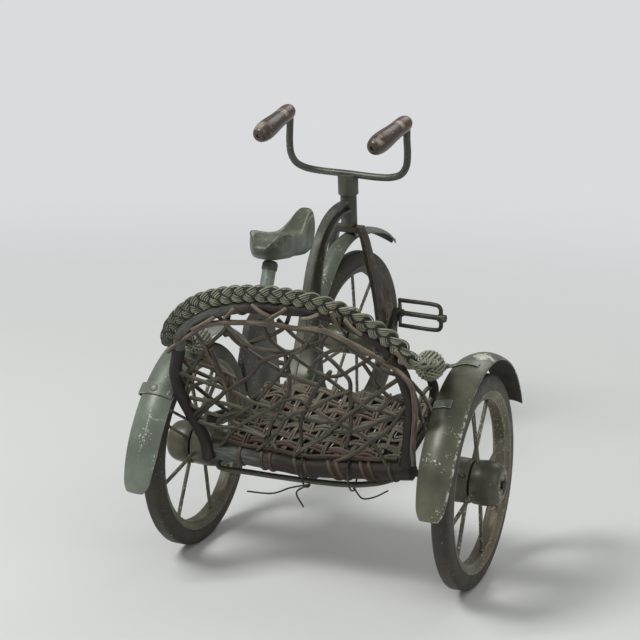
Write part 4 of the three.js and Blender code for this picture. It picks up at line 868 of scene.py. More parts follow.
# Waxed leather gone stiff: mottled olive and brown, a low sheen and a web of fine creases, whose
# cells are drawn 1.8 mm wide so that they show.
saddle_leather, tree, shader = principled("worn_olive_saddle_leather", 0.42, Specular_IOR_Level=0.45)
here = add(tree, "ShaderNodeTexCoord").outputs["Object"]
grain = add(tree, "ShaderNodeAttribute", {"attribute_name": "grain"}).outputs["Vector"]
creases = add(tree, "ShaderNodeTexVoronoi", {"feature": "DISTANCE_TO_EDGE"},
              {"Scale": 0.55 / MM, "Vector": here})
patches = speckle(tree, here, 0.07, 0.32, 0.68, 5.0)
ridge = band(tree, add(tree, "ShaderNodeSeparateXYZ", inputs={0: grain}).outputs["Y"], 0.955, 0.02, 0.02)
colour = layers(tree, "40453a", (patches, "5b6150"), (speckle(tree, here, 0.045, 0.52, 0.62), "6f7563", 0.8),
                (speckle(tree, here, 0.09, 0.58, 0.66, 5.0), "4b4534"),
                (speckle(tree, here, 0.12, 0.35, 0.5, within=[ridge]), "8a8f7c"),
                (speckle(tree, here, 0.45, 0.69, 0.71, 6.0), "b0ae97"))
surfaced(tree, shader, colour, creases.outputs["Distance"], 0.1, 0.35, (patches, 0.46, 0.32))

saddle_shares = [(0.85, 0.375, 0.5), (1.22, 0.15, 0.9), (1.2, 0.08, 1), (1.08, 0.02, 0.98), (0.96, 0, 0.92),
                 (0.9, -0.07, 0.81), (0.98, -0.15, 0.69), (1.26, -0.22, 0.56), (1.58, -0.26, 0.46),
                 (1.62, -0.18, 0.4), (1.05, 0.22, 0.27)]
saddle_length, saddle_half, saddle_depth = 101 * MM, 15.5 * MM, 20 * MM
post_head = Vector((0, 128.37, 186.7)) * MM
# Each cross section, as shares of half width and height: top middle, dish, ridge, wall, underside.
section_shares = [(0, 0.84), (0.3, 0.85), (0.6, 0.89), (0.8, 0.94), (0.88, 0.975), (0.93, 0.998),
                  (0.97, 0.995), (0.99, 0.96), (0.972, 0.92), (0.965, 0.88), (0.985, 0.72), (1, 0.55),
                  (0.975, 0.36), (0.9, 0.18), (0.75, 0.06), (0.45, 0.01), (0, 0)]
outline = section_shares + [(-a, u) for a, u in reversed(section_shares[1:-1])]
top_level, post_share = 0.84, 0.19
saddle_rows = 64
corners, marks = [], []
for j in range(saddle_rows + 1):
    along = j / saddle_rows
    top, bottom, half = blended(saddle_shares, along)
    pull = math.sqrt(max(1 - (2 * along - 1) ** (14 if along < 0.5 else 8), 0.0))
    dish = 1 - 0.9 * min(max((along - 0.45) / 0.35, 0), 1)
    for a, u in outline:
        level = 1 - (1 - u) * dish if u >= top_level and abs(a) < 0.965 else u
        level -= 0.17 * (1 - dish) * a ** 4 if u >= top_level else 0
        height = (top + bottom) / 2 + (level - 0.5) * (top - bottom) * (0.35 + 0.65 * pull)
        corners.append((a * half * saddle_half * (0.55 + 0.45 * pull),
                        post_head.y + (along - post_share) * saddle_length,
                        post_head.z + height * saddle_depth))
        marks.append((a, u, along))
saddle = piece("stuffed_saddle", (corners, rod_faces(saddle_rows + 1, len(outline)), marks), saddle_leather,
               "saddle", crease=80)
post_foot = Vector((0, 111.81, 149.36)) * MM
post_paint = worn_paint("pale_saddle_post_enamel", "88938a", "6c766c", "ced3c6", 0.5, 0.42)
eased("saddle_post", post_paint)
collar_radius = 6.3 * MM
collar = tube([post_foot.lerp(post_head, share) for share in (0.83, 0.895, 0.96)], collar_radius, 24)
piece("saddle_collar", collar, olive_paint, "saddle_post")


# Basket sticks
# Peeled sticks with strips of dark bark left on: the hoop under the plait, the thick bottom rail,
# two posts behind and two at the arms, and the side rails of the seat.
def by_chance(tree, grain):
    """A number from 0 to 1 for each rod, by the seed that its grain starts from."""
    seed = add(tree, "ShaderNodeSeparateXYZ", inputs={0: grain}).outputs["X"]
    seed = add(tree, "ShaderNodeMath", {"operation": "ROUND"}, {0: seed})
    return add(tree, "ShaderNodeTexWhiteNoise", {"noise_dimensions": "1D"}, {"W": seed}).outputs["Value"]


def stick_finish(name, bark, wood, lichen, bare_share, rough=0.62, bare_end=0.0, hues=(), dust_light_and_shade=0.25):
    """Bark with long fissures. Above bare_share of a broad noise the weathered wood shows, and so it
    does up to bare_end along the stick. Hues are two more woods, by chance from stick to stick. The
    last argument is how much paler the upper sides are, dust with a painted highlight, and how much
    darker the lower ones, with painted shade."""
    made, tree, shader = principled(name, rough, Specular_IOR_Level=0.45)
    here = add(tree, "ShaderNodeTexCoord").outputs["Object"]
    grain = add(tree, "ShaderNodeAttribute", {"attribute_name": "grain"}).outputs["Vector"]
    fissures = speckle(tree, grain, 0.7, 0.35, 0.65, 6.0, drawn=(1.0, 0.12))
    bare = speckle(tree, grain, 0.08, bare_share, bare_share + 0.06, drawn=(1.0, 0.35))
    colour = layers(tree, bark, (fissures, wood))
    for hue, low in zip(hues, (0.55, 0.8)):
        chosen = add(tree, "ShaderNodeMapRange", inputs={
            "From Min": low, "From Max": low + 0.05, "Value": by_chance(tree, grain)})
        colour = layers(tree, colour, (chosen, layers(tree, bark, (fissures, hue))))
    colour = layers(tree, colour, (bare, lichen, 0.7))
    if bare_end:
        ragged = 9 * MM
        stray = add(tree, "ShaderNodeMapRange", inputs={
            "To Min": -ragged, "To Max": ragged, "Value": speckle(tree, here, 0.06, 0.3, 0.7, 3.0)})
        along = add(tree, "ShaderNodeSeparateXYZ", inputs={0: grain}).outputs["Z"]
        along = add(tree, "ShaderNodeMath", {"operation": "ADD"}, {0: along, 1: stray})
        peeled = add(tree, "ShaderNodeMapRange", inputs={
            "From Min": bare_end + ragged, "From Max": bare_end - ragged, "Value": along})
        colour = layers(tree, colour, (peeled, layers(tree, "3c3e38", (fissures, "656a61"))))
    # Upper sides paler, dust with a painted highlight; lower sides and hollows darker, painted shade.
    normal = add(tree, "ShaderNodeNewGeometry").outputs["Normal"]
    level = add(tree, "ShaderNodeSeparateXYZ", inputs={0: normal}).outputs["Z"]
    above = add(tree, "ShaderNodeMapRange", inputs={"From Min": 0.1, "From Max": 0.85, "Value": level})
    below = add(tree, "ShaderNodeMapRange", inputs={"From Min": 0.0, "From Max": -0.8, "Value": level})
    colour = layers(tree, colour, (above, lichen, dust_light_and_shade), (below, "16130f", dust_light_and_shade),
                    (hollows(tree, 4, 0.7, 0.25), "16130f", 0.8))
    surfaced(tree, shader, colour, fissures, 0.4, 0.45)
    return made


dark_bark = stick_finish("dark_bark_stick", "14110d", "29221b", "4c463c", 0.68)
pale_bark = stick_finish("peeled_pale_post", "4d4435", "8a8069", "a39a80", 0.6, 0.5)
hoop_bark = stick_finish("dark_bark_hoop", "18130f", "33271e", "544d42", 0.64, bare_end=62 * MM)
red_bark = stick_finish("red_bark_rail", "1c130e", "36261b", "544c40", 0.68, bare_end=44 * MM)
half_width, back_height = 88.5 * MM, 141 * MM
lean = math.radians(21.8)
back_up = Vector((0, -math.sin(lean), math.cos(lean)))
back_out = Vector((0, -math.cos(lean), -math.sin(lean)))
rail_middle = Vector((107, -45, 86.6)) * MM
hoop_mm = [(28.37, -78.34, 169.96), (31.44, -82.05, 179.22), (39.47, -85.54, 187.96), (52.8, -88.76, 196.01),
           (66.32, -91.12, 201.9), (82.48, -92.79, 206.08), (98.77, -93.51, 207.88), (115.23, -93.51, 207.88),
           (131.43, -92.8, 206.1), (149.25, -90.88, 201.32), (166.17, -87.79, 193.57), (180.09, -83.93, 183.93),
           (187.71, -79.52, 172.92)]
rail_mm = [(30.89, -45, 89.7), (53.9, -45, 87.98), (80.45, -45, 86.6), (107, -45, 85.5), (140.63, -45, 88.32),
           (184.88, -45, 93.16)]
posts_mm = {
    "back_post_left": ((28.37, -78.34, 169.96), (20.27, -69.09, 146.82), (22.48, -60.71, 125.87),
                       (28.23, -53.38, 107.55), (33.5, -51.0, 94.0), (36.5, -54.3, 84.0)),
    "back_post_right": ((187.71, -79.52, 172.92), (192.4, -70.13, 149.44), (188.86, -61.76, 128.49),
                        (185.32, -54.43, 110.16), (181.5, -49.0, 97.5)),
    "arm_post_left": ((20.71, -37.5, 158), (22.48, -23.25, 145.2), (28.68, -7.5, 129), (34.2, -0.5, 79)),
    "arm_post_right": ((193.29, -37.5, 158), (191.52, -23.25, 145.2), (185.32, -7.5, 129), (179.8, -0.5, 79)),
    "seat_side_rail_left": ((41.07, -38, 89), (41.07, 33.5, 111.8)),
    "seat_side_rail_right": ((172.93, -38, 89), (172.93, 33.5, 111.8)),
}
post_radii = {"back": 4.5 * MM, "arm": 3.3 * MM, "seat": 3.1 * MM}
pale_post, pale_post_radius = "arm_post_left", 4.1 * MM
rail_radius = 6.8 * MM


def drawn_up(point):
    """How far the hoop's right part is drawn up against the plait, from 0 to 1."""
    x = point.x / MM
    return min(max((x - 112) / 25, 0), max((186 - x) / 10, 0), 1)


def hoop_radius(share):
    """The hoop is thinner where it is drawn up."""
    return (4.2 - 1.2 * drawn_up(hoop_line[int(share * (len(hoop_line) - 1))])) * MM


hoop_line = [p + back_up * (2.6 * MM * drawn_up(p)) for p in spline(metres(hoop_mm), 10)]
rail_line = spline(metres(rail_mm), 14)
piece("bark_hoop", tube(hoop_line, hoop_radius, 16, 11, rough=0.16), hoop_bark, "basket_hoop")
piece("bark_rail", tube(rail_line, rail_radius, 28, 12, rough=0.05), red_bark, "bottom_rail")
for i, (node, points) in enumerate(posts_mm.items()):
    finish, thick = dark_bark, post_radii[node.split("_")[0]]
    if node == pale_post:
        finish, thick = pale_bark, pale_post_radius
    stick = tube(spline(metres(points), 10), thick, 14, 20 + i, rough=0.14)
    piece("stick_" + node, stick, finish, node)


# Ribbons on the bottom rail and ties on the hoop
# Flat dark strips of bark wound round the thick rail in pairs, and short ends of reed that bind
# the hoop to the lattice.
ribbon_finish = stick_finish("wound_bark_ribbon", "261d16", "574637", "7d6d5b", 0.64, 0.5, dust_light_and_shade=0.5)
ribbon_reach, ribbon_half, top_reed_radius = 7.3 * MM, 1.4 * MM, 1.5 * MM
hoop_tie_reach, hoop_tie_half = 4.5 * MM, 1.15 * MM


def span_at(line, share):
    """The span of a line in which this share of its length falls, and how far along the span."""
    lengths = lengths_along(line)
    place = share * lengths[-1]
    i = min(int(np.searchsorted(lengths, place, side="right")) - 1, len(line) - 2)
    return i, (place - lengths[i]) / (lengths[i + 1] - lengths[i])


def on_line(line, share):
    """The point of a line at this share of its length."""
    i, t = span_at(line, share)
    return line[i].lerp(line[i + 1], t)


def winding(line, start, turns, pitch_share, radius, width, flat, seed):
    """A flat strip wound round a stick: a helix about its line from a share of its length, laid
    flat on the stick where it starts."""
    frames = along_line(line, Vector((0, 0, 1)))
    steps = max(int(turns * 20), 8)
    helix = []
    for k in range(steps + 1):
        share = min(max(start + pitch_share * k / steps, 0.0), 1.0)
        _, side, other = frames[span_at(line, share)[0]]
        turn = 2 * math.pi * turns * k / steps + seed
        helix.append(on_line(line, share) + (side * math.cos(turn) + other * math.sin(turn)) * radius)
    run = (helix[1] - helix[0]).normalized()
    nearest = min(line, key=lambda p: (p - helix[0]).length)
    return tube(helix, width, 8, seed, flat, run.cross((helix[0] - nearest).normalized()), 0.1)


ribbon_shares = [(0.17, 0.03), (0.28, 0.03), (0.32, 0.03), (0.43, 0.08), (0.475, 0.08), (0.6, 0.08),
                 (0.64, 0.08), (0.76, 0.07), (0.8, 0.07), (0.9, 0.04)]
ribbons = [winding(rail_line, start, 0.66, lead, ribbon_reach, ribbon_half, 0.5, -0.5 + 0.05 * i)
           for i, (start, lead) in enumerate(ribbon_shares)]
piece("rail_ribbons", merged(ribbons), ribbon_finish, "bottom_rail")
top_reed = [p + Vector((0, -2.6, 8.6 + 0.5 * math.sin(0.3 * k))) * MM for k, p in enumerate(rail_line[4:-3])]
piece("rail_top_reed",
      tube(top_reed, top_reed_radius, 10, 13, rough=0.12), ribbon_finish, "bottom_rail")
tie_shares = [(0.05, 0.03), (0.36, 0.05), (0.46, 0.05), (0.7, 0.03), (0.72, 0.03), (0.93, 0.03)]
ties = [winding(hoop_line, start, 0.7, lead, hoop_tie_reach, hoop_tie_half, 0.5, 1.2 + i)
        for i, (start, lead) in enumerate(tie_shares)]
piece("hoop_ties", merged(ties), ribbon_finish, "basket_hoop")


# Lattice of the back and the sides
# Dry twigs and reeds bent as they grew and crossed at odd angles, each a little over or under the
# next, with a paler border reed that runs along the hoop.
reed_finish = stick_finish("dry_bent_reed", "2a251d", "5f5848", "8a8470", 0.64, 0.4,
                           hues=("513f31", "7a735f"), dust_light_and_shade=0.7)
border_finish = stick_finish("pale_border_reed", "4b4035", "857868", "a89d86", 0.6, 0.44, dust_light_and_shade=0.6)
lattice_shares = [
    [(-0.98, 0.62), (-0.78, 0.72), (-0.56, 0.81), (-0.29, 0.84), (-0.03, 0.85), (0.14, 0.84), (0.36, 0.845),
     (0.59, 0.785), (0.79, 0.715), (0.96, 0.645), (1.01, 0.585), (1.015, 0.49), (0.985, 0.35), (0.95, 0.24),
     (0.93, 0.12)],
    [(-0.95, 0.32), (-0.92, 0.39), (-0.83, 0.5), (-0.74, 0.58), (-0.59, 0.69), (-0.45, 0.78), (-0.38, 0.89)],
    [(-0.72, 0.76), (-0.65, 0.64), (-0.61, 0.58), (-0.57, 0.49), (-0.54, 0.4)],
    [(-0.94, 0.57), (-0.75, 0.55), (-0.57, 0.51), (-0.46, 0.48)],
    [(-0.97, 0.5), (-0.74, 0.45), (-0.49, 0.4), (-0.36, 0.37), (-0.18, 0.33), (0.02, 0.28)],
    [(-0.96, 0.31), (-0.89, 0.38), (-0.74, 0.44), (-0.55, 0.48)],
    [(-0.5, 0.86), (-0.31, 0.72), (-0.18, 0.69), (0, 0.68), (0.13, 0.7), (0.27, 0.8)],
    [(-0.45, 0.76), (-0.36, 0.7), (-0.2, 0.61), (-0.05, 0.56), (0.12, 0.52), (0.23, 0.49)],
    [(-0.93, 0.21), (-0.79, 0.29), (-0.7, 0.33), (-0.55, 0.41), (-0.33, 0.51), (-0.18, 0.62), (0.03, 0.68),
     (0.31, 0.76), (0.42, 0.84)],
    [(-0.36, 0.66), (-0.28, 0.7), (-0.08, 0.77), (0.04, 0.82), (0.12, 0.92)],
    [(-0.14, 0.86), (-0.08, 0.75), (0.05, 0.68), (0.19, 0.61), (0.3, 0.58), (0.42, 0.58), (0.56, 0.64),
     (0.76, 0.74)],
    [(0, 0.86), (0.15, 0.76), (0.31, 0.69), (0.43, 0.62), (0.49, 0.56), (0.48, 0.47), (0.46, 0.34)],
    [(0.34, 0.86), (0.54, 0.75), (0.74, 0.66), (0.9, 0.63)],
    [(0.25, 0.58), (0.44, 0.48), (0.55, 0.43), (0.7, 0.39), (0.94, 0.35)],
    [(0.1, 0.36), (0.17, 0.44), (0.23, 0.5), (0.36, 0.6)],
    [(-0.94, 0.3), (-0.84, 0.26), (-0.64, 0.22), (-0.48, 0.19), (-0.3, 0.12), (-0.22, 0)],
    [(-0.72, 0), (-0.57, 0.16), (-0.36, 0.27), (-0.17, 0.35), (-0.05, 0.42)],
    [(-0.68, 0.19), (-0.49, 0.27), (-0.36, 0.34), (-0.21, 0.44), (-0.05, 0.56), (0.08, 0.68)],
    [(-0.4, 0), (-0.19, 0.19), (-0.06, 0.3), (0.14, 0.36), (0.31, 0.44), (0.49, 0.5)],
    [(-0.9, 0.33), (-0.72, 0.32), (-0.48, 0.3), (-0.3, 0.28), (-0.12, 0.26)],
    [(-0.1, 0.39), (0.05, 0.41), (0.2, 0.35), (0.39, 0.28), (0.59, 0.21), (0.72, 0)],
    [(-0.1, 0.28), (0.02, 0.29), (0.27, 0.29), (0.46, 0.35), (0.6, 0.4)],
    [(-0.08, 0), (0.03, 0.12), (0.21, 0.2), (0.31, 0.27), (0.47, 0.37), (0.63, 0.46), (0.77, 0.54),
     (0.93, 0.62)],
    [(0.13, 0.16), (0.28, 0.22), (0.42, 0.24), (0.61, 0.3), (0.73, 0.34), (0.93, 0.36)],
    [(0.26, 0), (0.4, 0.1), (0.59, 0.21), (0.76, 0.3), (0.9, 0.43), (0.98, 0.5)],
    [(0.62, 0.66), (0.76, 0.51), (0.86, 0.47), (0.95, 0.42)],
    [(0.58, 0.43), (0.69, 0.41), (0.84, 0.49), (0.96, 0.53)],
    [(0.01, 0.67), (0.0, 0.57), (-0.01, 0.47), (-0.11, 0.35), (-0.24, 0.22), (-0.29, 0.13)],
    [(0.18, 0.58), (0.26, 0.65), (0.36, 0.71), (0.48, 0.74)],
    [(0.87, 0.68), (0.79, 0.69), (0.72, 0.64), (0.69, 0.57), (0.72, 0.53)],
    [(0.1, 0.36), (0.03, 0.26), (0.0, 0.12)],
    [(0.5, 0.45), (0.46, 0.35), (0.43, 0.25), (0.37, 0.15)],
    [(-0.88, 0.21), (-0.74, 0.3), (-0.59, 0.39), (-0.54, 0.45), (-0.57, 0.54), (-0.61, 0.65)],
    [(-0.74, 0.14), (-0.66, 0.23), (-0.47, 0.29), (-0.35, 0.37), (-0.25, 0.43)],
    [(-0.86, 0.2), (-0.74, 0.17), (-0.5, 0.18), (-0.3, 0.15)],
]
reed_radius, border_radius, crossing_radius = 1.45 * MM, 1.85 * MM, 1.35 * MM
crossing_outs = (5.2 * MM, 6.1 * MM, 5.0 * MM)


def on_back(x, up, out=0.0):
    """A point on the back by its shares of half the width and of the height."""
    return rail_middle + Vector((x * half_width, 0, 0)) + back_up * (up * back_height) + back_out * out


reeds = []
for i, shares in enumerate(lattice_shares):
    line = spline([on_back(x, max(up, 0.05)) for x, up in shares], 8)
    if i == 0:
        at_post = [min(max((p.x - rail_middle.x) / half_width - 0.85, 0) / 0.12, 1) for p in line]
        lifts, thick = [(2.8 + 2.0 * share) * MM for share in at_post], border_radius
    else:
        level = -0.6 if i % 2 else 0.6
        lifts = [(level + 0.5 * math.sin(1.7 * i + 0.3 * k)) * reed_radius for k in range(len(line))]
        thick = reed_radius * (0.92 + 0.16 * ((i * 7) % 5) / 4)
    reeds.append(tube([p + back_out * lift for p, lift in zip(line, lifts)], thick, 10, i, rough=0.09))
piece("twig_lattice", merged(reeds[1:]), reed_finish, "back_lattice")
piece("border_reed", reeds[0], border_finish, "back_lattice")
crossing_ends = [((-0.05, 0.885), (0.12, 0.955)), ((-0.15, 0.96), (-0.03, 0.905)),
                 ((-0.4, 0.87), (-0.31, 0.925)), ((0.24, 0.91), (0.37, 0.942)),
                 ((0.475, 0.965), (0.53, 0.865)), ((0.575, 0.93), (0.68, 0.855)),
                 ((-0.7, 0.78), (-0.49, 0.865)), ((0.93, 0.79), (1.02, 0.7))]
crossed = []
for k, (a, b) in enumerate(crossing_ends):
    middle = on_back((a[0] + b[0]) / 2, (a[1] + b[1]) / 2, crossing_outs[1])
    line = spline([on_back(*a, crossing_outs[0]), middle, on_back(*b, crossing_outs[2])], 5)
    crossed.append(tube(line, crossing_radius, 9, 60 + k, rough=0.15))
piece("crossing_ends", merged(crossed), border_finish, "back_lattice")

side_reed_shares = [(0.2, 0.31, 0.45, 0.56, 0.68), (0.84, 0.66, 0.45, 0.32, 0.24), (0.5, 0.6, 0.72, 0.8, 0.84),
                    (0.97, 0.86, 0.72, 0.58, 0.46)]
for side in ("left", "right"):
    back, front = (spline(metres(posts_mm[f"{which}_post_{side}"]), 10) for which in ("back", "arm"))
    crossed = []
    for k, rows in enumerate(side_reed_shares):
        points = [on_line(back, 1 - up).lerp(on_line(front, 1 - up), j / (len(rows) - 1))
                  for j, up in enumerate(rows)]
        crossed.append(tube(spline(points, 8), reed_radius, 10, 40 + k, rough=0.1))
    piece(f"side_twigs_{side}", merged(crossed), reed_finish, f"side_lattice_{side}")
front_rail_radius = 3.1 * MM
front_rail = spline(metres([(38, 37.5, 113), (176, 37.5, 113)]), 24)
piece("front_rail_reed", tube(front_rail, front_rail_radius, 14, 50, rough=0.12), reed_finish,
      "seat_front_rail")


# Plaited rim and arm ends
# Pale straw plaited from three strands of four reeds each over a core bundle coloured near black,
# as painted shade between the strands, laid flat on the hoop and down both arms, and finished
# over each arm post in a worked ball.
def straw_finish(name, dark, straw, light, left_end_shade=0.0):
    """Dry peeled straw: a satin pale green-grey with painted shade in the creases between the reeds,
    no two of them quite alike. Its fibres are drawn 0.6 mm wide, coarser than real ones, so that they
    show. The last argument is how much painted shade darkens the left end of the rim."""
    made, tree, shader = principled(name, 0.6, Sheen_Weight=0.15)
    here = add(tree, "ShaderNodeTexCoord").outputs["Object"]
    grain = add(tree, "ShaderNodeAttribute", {"attribute_name": "grain"}).outputs["Vector"]
    fibres = speckle(tree, grain, 1.6, 0.3, 0.7, 3.0, drawn=(1.0, 0.05))
    colour = layers(tree, straw, (fibres, light), (by_chance(tree, grain), dark, 0.65),
                    (speckle(tree, here, 0.06, 0.35, 0.65, 3.0), straw),
                    (hollows(tree, 1.3, 0.8, 0.35, 8), dark))
    # The left end of the rim, turned away from the light, is darkened: painted shade.
    if left_end_shade:
        across = add(tree, "ShaderNodeSeparateXYZ", inputs={0: here}).outputs["X"]
        left = add(tree, "ShaderNodeMapRange", inputs={
            "From Min": 60 * MM, "From Max": 16 * MM, "Value": across})
        colour = layers(tree, colour, (left, dark, left_end_shade))
    surfaced(tree, shader, colour, fibres, 0.12, 0.5)
    return made


straw = straw_finish("peeled_plaited_straw", "171510", "8f917a", "bfc1a6", 0.7)
rim_mm = [(20.71, -37.5, 165), (15.84, -60.63, 169.4), (18.5, -79.56, 173), (22.48, -84.01, 184.13),
          (32.66, -88.46, 195.26), (47.7, -92.13, 204.42), (62.75, -94.74, 210.97), (80.45, -96.58, 215.55),
          (98.15, -97.36, 217.52), (115.85, -97.36, 217.52), (133.55, -96.58, 215.55),
          (153.02, -94.48, 210.32), (171.61, -91.08, 201.81), (187.53, -86.63, 190.68),
          (196.38, -81.65, 178.24), (198.16, -61.78, 172.28), (193.29, -37.5, 165)]
plait_step, plait_period = 0.8 * MM, 27 * MM
plait_half, plait_rise, reed_gap, straw_radius = 3.7 * MM, 2.0 * MM, 1.38 * MM, 0.58 * MM
bundle_half, left_shift = 5.3 * MM, 1.8 * MM
rim_line = spline(metres(rim_mm), 10)
steps = int(lengths_along(rim_line)[-1] / plait_step)
plait_line = [on_line(rim_line, k / steps) for k in range(steps + 1)]
plait_frames = along_line(plait_line, Vector((0, 0, 1)))
run, side, other = plait_frames[len(plait_line) // 2]
twist = math.atan2(side.cross(back_up).dot(run), side.dot(back_up))
across_plait = [side * math.cos(twist) + other * math.sin(twist) for _, side, other in plait_frames]


def left_end(point):
    """How far the plait has come into its flat, dark left end, from 0 to 1."""
    return min(max((50 - point.x / MM) / 22, 0), 1)


def strand_reed(strand, reed):
    """One reed's line: its strand crosses the plait and back, over one neighbour and under the next."""
    line = []
    for k, (point, (run, _, _), wide) in enumerate(zip(plait_line, plait_frames, across_plait)):
        turn = 2 * math.pi * (k * plait_step / plait_period + strand / 3)
        half = plait_half * (1 + 0.32 * min(max((point.x / MM - 120) / 35, 0), 1) - 0.3 * left_end(point))
        slope = half * 2 * math.pi / plait_period * math.cos(turn)
        lean_share = slope / math.sqrt(1 + slope * slope)
        across = half * math.sin(turn) + reed * reed_gap * math.sqrt(1 - lean_share * lean_share)
        across -= left_shift * left_end(point)
        lift = plait_rise * math.sin(2 * turn) - 0.2 * reed * reed * MM
        line.append(point + wide * across - run * (reed * reed_gap * lean_share) + run.cross(wide) * lift)
    return line[2:-2]


strands = [tube(strand_reed(strand, reed), straw_radius, 6, strand * 4 + reed + 1.5, rough=0.25)
           for strand in range(3) for reed in (-1.5, -0.5, 0.5, 1.5)]
piece("plaited_rim", merged(strands), straw, "braided_rim")
# The bundle's near-black is painted shade, seen through the gaps between the strands.
bundle_shade_finish = straw_finish("bundle_painted_shade", "0e0d0a", "26251d", "38372c")
bundle_line = [point - wide * (left_shift * left_end(point)) for point, wide in zip(plait_line, across_plait)]
bundle = tube(bundle_line[2:-2], lambda share: bundle_half - 1.1 * MM * left_end(on_line(plait_line, share)),
              16, 77, 0.22, across_plait[0], 0.05)
piece("plait_bundle", bundle, bundle_shade_finish, "braided_rim")

ball_straw = straw_finish("worked_straw_ball", "37352b", "a0a28a", "cbcdb4")
ball_rows, ball_radius, stitch_radius = 12, 9.0 * MM, 0.68 * MM
stitch_step, stitch_foot, stitch_top = 2.5 * MM, 9.2 * MM, 9.9 * MM


def stitch_size(share):
    """A stitch is thickest at its middle."""
    return stitch_radius * (0.55 + 0.45 * math.sin(math.pi * share))


for side, centre, sign in (("left", rim_line[0], -1), ("right", rim_line[-1], 1)):
    axis = Vector((0.15 * sign, 0.9, 0.25)).normalized()
    first = axis.orthogonal().normalized()
    second = axis.cross(first)
    corners, faces, marks = turned([(ball_radius * math.cos(a), max(ball_radius * math.sin(a), 0.05 * MM))
                                    for a in np.linspace(math.pi, 0, 13)], 20, False)
    stitches = [([centre + Vector(v) for v in corners], faces, marks)]
    for row in range(ball_rows):
        polar = math.pi * (row + 0.5) / ball_rows
        count = max(int(round(2 * math.pi * math.sin(polar) * ball_radius / stitch_step)), 3)
        for k in range(count):
            for way in (-1, 1):
                a = 2 * math.pi * (k + 0.25 * way) / count
                b = a - way * stitch_step / 2 / (ball_radius * max(math.sin(polar), 0.3))
                ends = []
                for turn, tilt in ((a, -0.19), (0.5 * (a + b), 0.0), (b, 0.19)):
                    p = polar + tilt
                    outward = first * math.cos(turn) + second * math.sin(turn)
                    direction = axis * math.cos(p) + outward * math.sin(p)
                    ends.append(centre + direction * (stitch_foot if tilt else stitch_top))
                stitches.append(tube(spline(ends, 2), stitch_size, 6, row + k))
    piece(f"worked_ball_{side}", merged(stitches), ball_straw, f"arm_knob_{side}")


# Woven seat and bound front rail
# Pale split reeds woven in pairs and threes over the side rails, loose and uneven, with dark gaps
# between them, painted shade from near-black flat strips laid under the weave, and two places on
# the front rail bound with the same splint.
splint = straw_finish("woven_pale_splint", "0e0c09", "5f5846", "938a72")
brown_splint = straw_finish("woven_brown_splint", "0e0b08", "543f33", "7f6350")
# The last of these is painted shade, for the flat strips under the weave.
under_shade_sheet = straw_finish("painted_shade_under_weave", "0a0907", "1f1b16", "2e2821")
seat_run = Vector((0, 0.952424, 0.304776))
seat_normal = Vector((0, -0.304776, 0.952424))
seat_half, seat_rear, seat_front = 65.5 * MM, 7 * MM, 85 * MM
random.seed(7)


def on_seat(across, along, lift):
    """A point on the seat by its places across and along it, and its height over the side rails."""
    return rail_middle + Vector((across, 0, 0)) + seat_run * along + seat_normal * (3.5 * MM + lift)


seat_level, seat_wave, seat_stray = 1.9 * MM, 1.2 * MM, 2.2 * MM
long_count, wide_count, under_count = 13, 7, 17
wide_gap, wide_radius = 2.1 * MM, 1.15 * MM
long_gap, long_radius = 2.3 * MM, 1.05 * MM
under_half, under_level = 3.7 * MM, -0.2 * MM
pale, brown = [], []
for i in range(wide_count):
    along = seat_rear + (seat_front - seat_rear) * (i + 0.5) / wide_count
    for reed in (-1, 0, 1):
        shift = reed * wide_gap + random.uniform(-0.5, 0.5) * MM
        line = []
        for k in range(61):
            across = -seat_half + 2 * seat_half * k / 60
            turn = math.pi * (long_count * (k / 60) + i)
            stray = seat_stray * noise.noise(Vector((across * 60, i * 3.1 + reed, 0)))
            lift = seat_level + seat_wave * math.sin(turn) + 0.35 * reed * reed * MM
            line.append(on_seat(across, along + shift + stray, lift))
        hue = brown if random.random() < 0.2 else pale
        hue.append(tube(line, wide_radius, 7, i * 3 + reed, 0.85, rough=0.2))
for i in range(long_count):
    across = -seat_half + 2 * seat_half * (i + 0.5) / long_count
    for reed in (-0.5, 0.5):
        shift = reed * long_gap + random.uniform(-0.6, 0.6) * MM
        line = []
        for k in range(41):
            along = seat_rear - 2 * MM + (seat_front - seat_rear + 3 * MM) * k / 40
            turn = math.pi * (wide_count * (k / 40) + i) + math.pi / 2
            stray = seat_stray * noise.noise(Vector((along * 60, i * 2.3 + reed + 40, 0)))
            line.append(on_seat(across + shift + stray, along, seat_level + seat_wave * math.sin(turn)))
        hue = brown if random.random() < 0.3 else pale
        hue.append(tube(line, long_radius, 7, 60 + i * 2 + reed, 0.85, rough=0.2))
piece("woven_seat", merged(pale), splint, "seat_panel")
piece("woven_seat_brown", merged(brown), brown_splint, "seat_panel")
# Near-black flat strips under the weave: painted shade seen through its gaps.
under = []
for i in range(under_count):
    across = -seat_half + 2 * seat_half * (i + 0.5) / under_count
    line = [on_seat(across + 0.5 * MM * math.sin(k + i),
                    seat_rear + (seat_front - seat_rear) * k / 12, under_level) for k in range(13)]
    under.append(tube(line, under_half, 8, 120 + i, 0.11, Vector((1, 0, 0)), 0.06))
piece("seat_shade_sheets", merged(under), under_shade_sheet, "seat_panel")

binding_reach, binding_radius, sleeve_radius = 4.1 * MM, 1.05 * MM, 4.2 * MM
for side, share in (("left", -0.45), ("right", 0.1)):
    middle = Vector((rail_middle.x + share * half_width, 37.5 * MM, 113 * MM))
    core, sleeve_line = ([middle + Vector((x * MM, 0, 0)) for x in places]
                         for places in ((-8, -4, 0, 4, 8), (-3.8, 0, 3.8)))
    wound = winding(core, 0.22, 4, 0.56, binding_reach, binding_radius, 0.55, 0.4)
    sleeve = tube(sleeve_line, sleeve_radius, 14)
    piece(f"splint_binding_{side}", merged([wound, sleeve]), splint, f"rail_wrap_{side}")


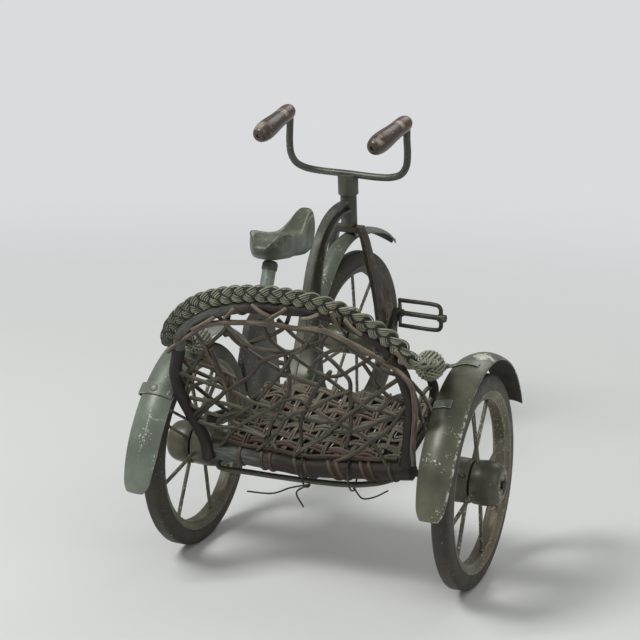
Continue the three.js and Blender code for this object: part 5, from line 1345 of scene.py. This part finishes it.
# Wires
# Dark annealed wire: a stay from each back post to its fender, and two ties round the rail and
# the chassis loop whose loose ends hang below.
wire_metal = bare_metal("dark_annealed_wire", 0.45, 0.7, "262829", "5a5850", 0.3, 0.4, 0.62, 5.0)
stay_radius, tie_radius = 1.0 * MM, 0.6 * MM  # Wire of 2 and 1.2 mm.
tie_over_mm, tie_under_mm, tie_half_mm = 8.4, 3.5, 9.5
stays_mm = {"left": ((16.6, -70.88, 121.77), (28.23, -53.38, 107.55)),
            "right": ((200.7, -61.5, 134.39), (185.32, -54.43, 110.16))}
for side, ends in stays_mm.items():
    stay = tube(spline(metres(ends), 8), stay_radius, 10)
    piece(f"stay_wire_{side}", stay, wire_metal, f"fender_stay_{side}")
# Each tie: where it holds the loop, the rail's height there, and its loose ends.
ties_mm = {
    "left": ((107, -40.5, 73.5), 85.5, (((92, -37.5, 65.25), (78.5, -37.5, 59.25), (58.25, -37.5, 57.75)),
                                        ((96.5, -37.5, 62.25), (101.75, -37.5, 52.5)))),
    "right": ((141.24, -41.25, 75.75), 88.3,
              (((146, -37.5, 65.25), (155, -37.5, 67.5), (164.75, -37.5, 73.5)),)),
}
for side, (low, rail_height, tails) in ties_mm.items():
    low = Vector(low)
    high = Vector((low.x, -45, rail_height))
    up = (high - low).normalized()
    top, foot = high + up * tie_over_mm, low - up * tie_under_mm
    middle, long = (top + foot) / 2, (top - foot).length / 2
    across = up.cross(Vector((1, 0, 0)))
    loop = [middle + up * (long * math.cos(a)) + across * (tie_half_mm * math.sin(a))
            + Vector((0.6 * math.sin(a / 2), 0, 0)) for a in np.linspace(math.pi, 3 * math.pi, 41)]
    shapes = [tube(metres(loop), tie_radius, 8)]
    shapes += [tube(spline(metres([foot, *tail]), 8), tie_radius, 8) for tail in tails]
    piece(f"tie_{side}", merged(shapes), wire_metal, f"tie_wire_{side}")

bpy.context.scene.view_settings.view_transform = "Standard"
bpy.context.view_layer.update()


def plain(box):
    return [list(map(float, corner)) for corner in box]
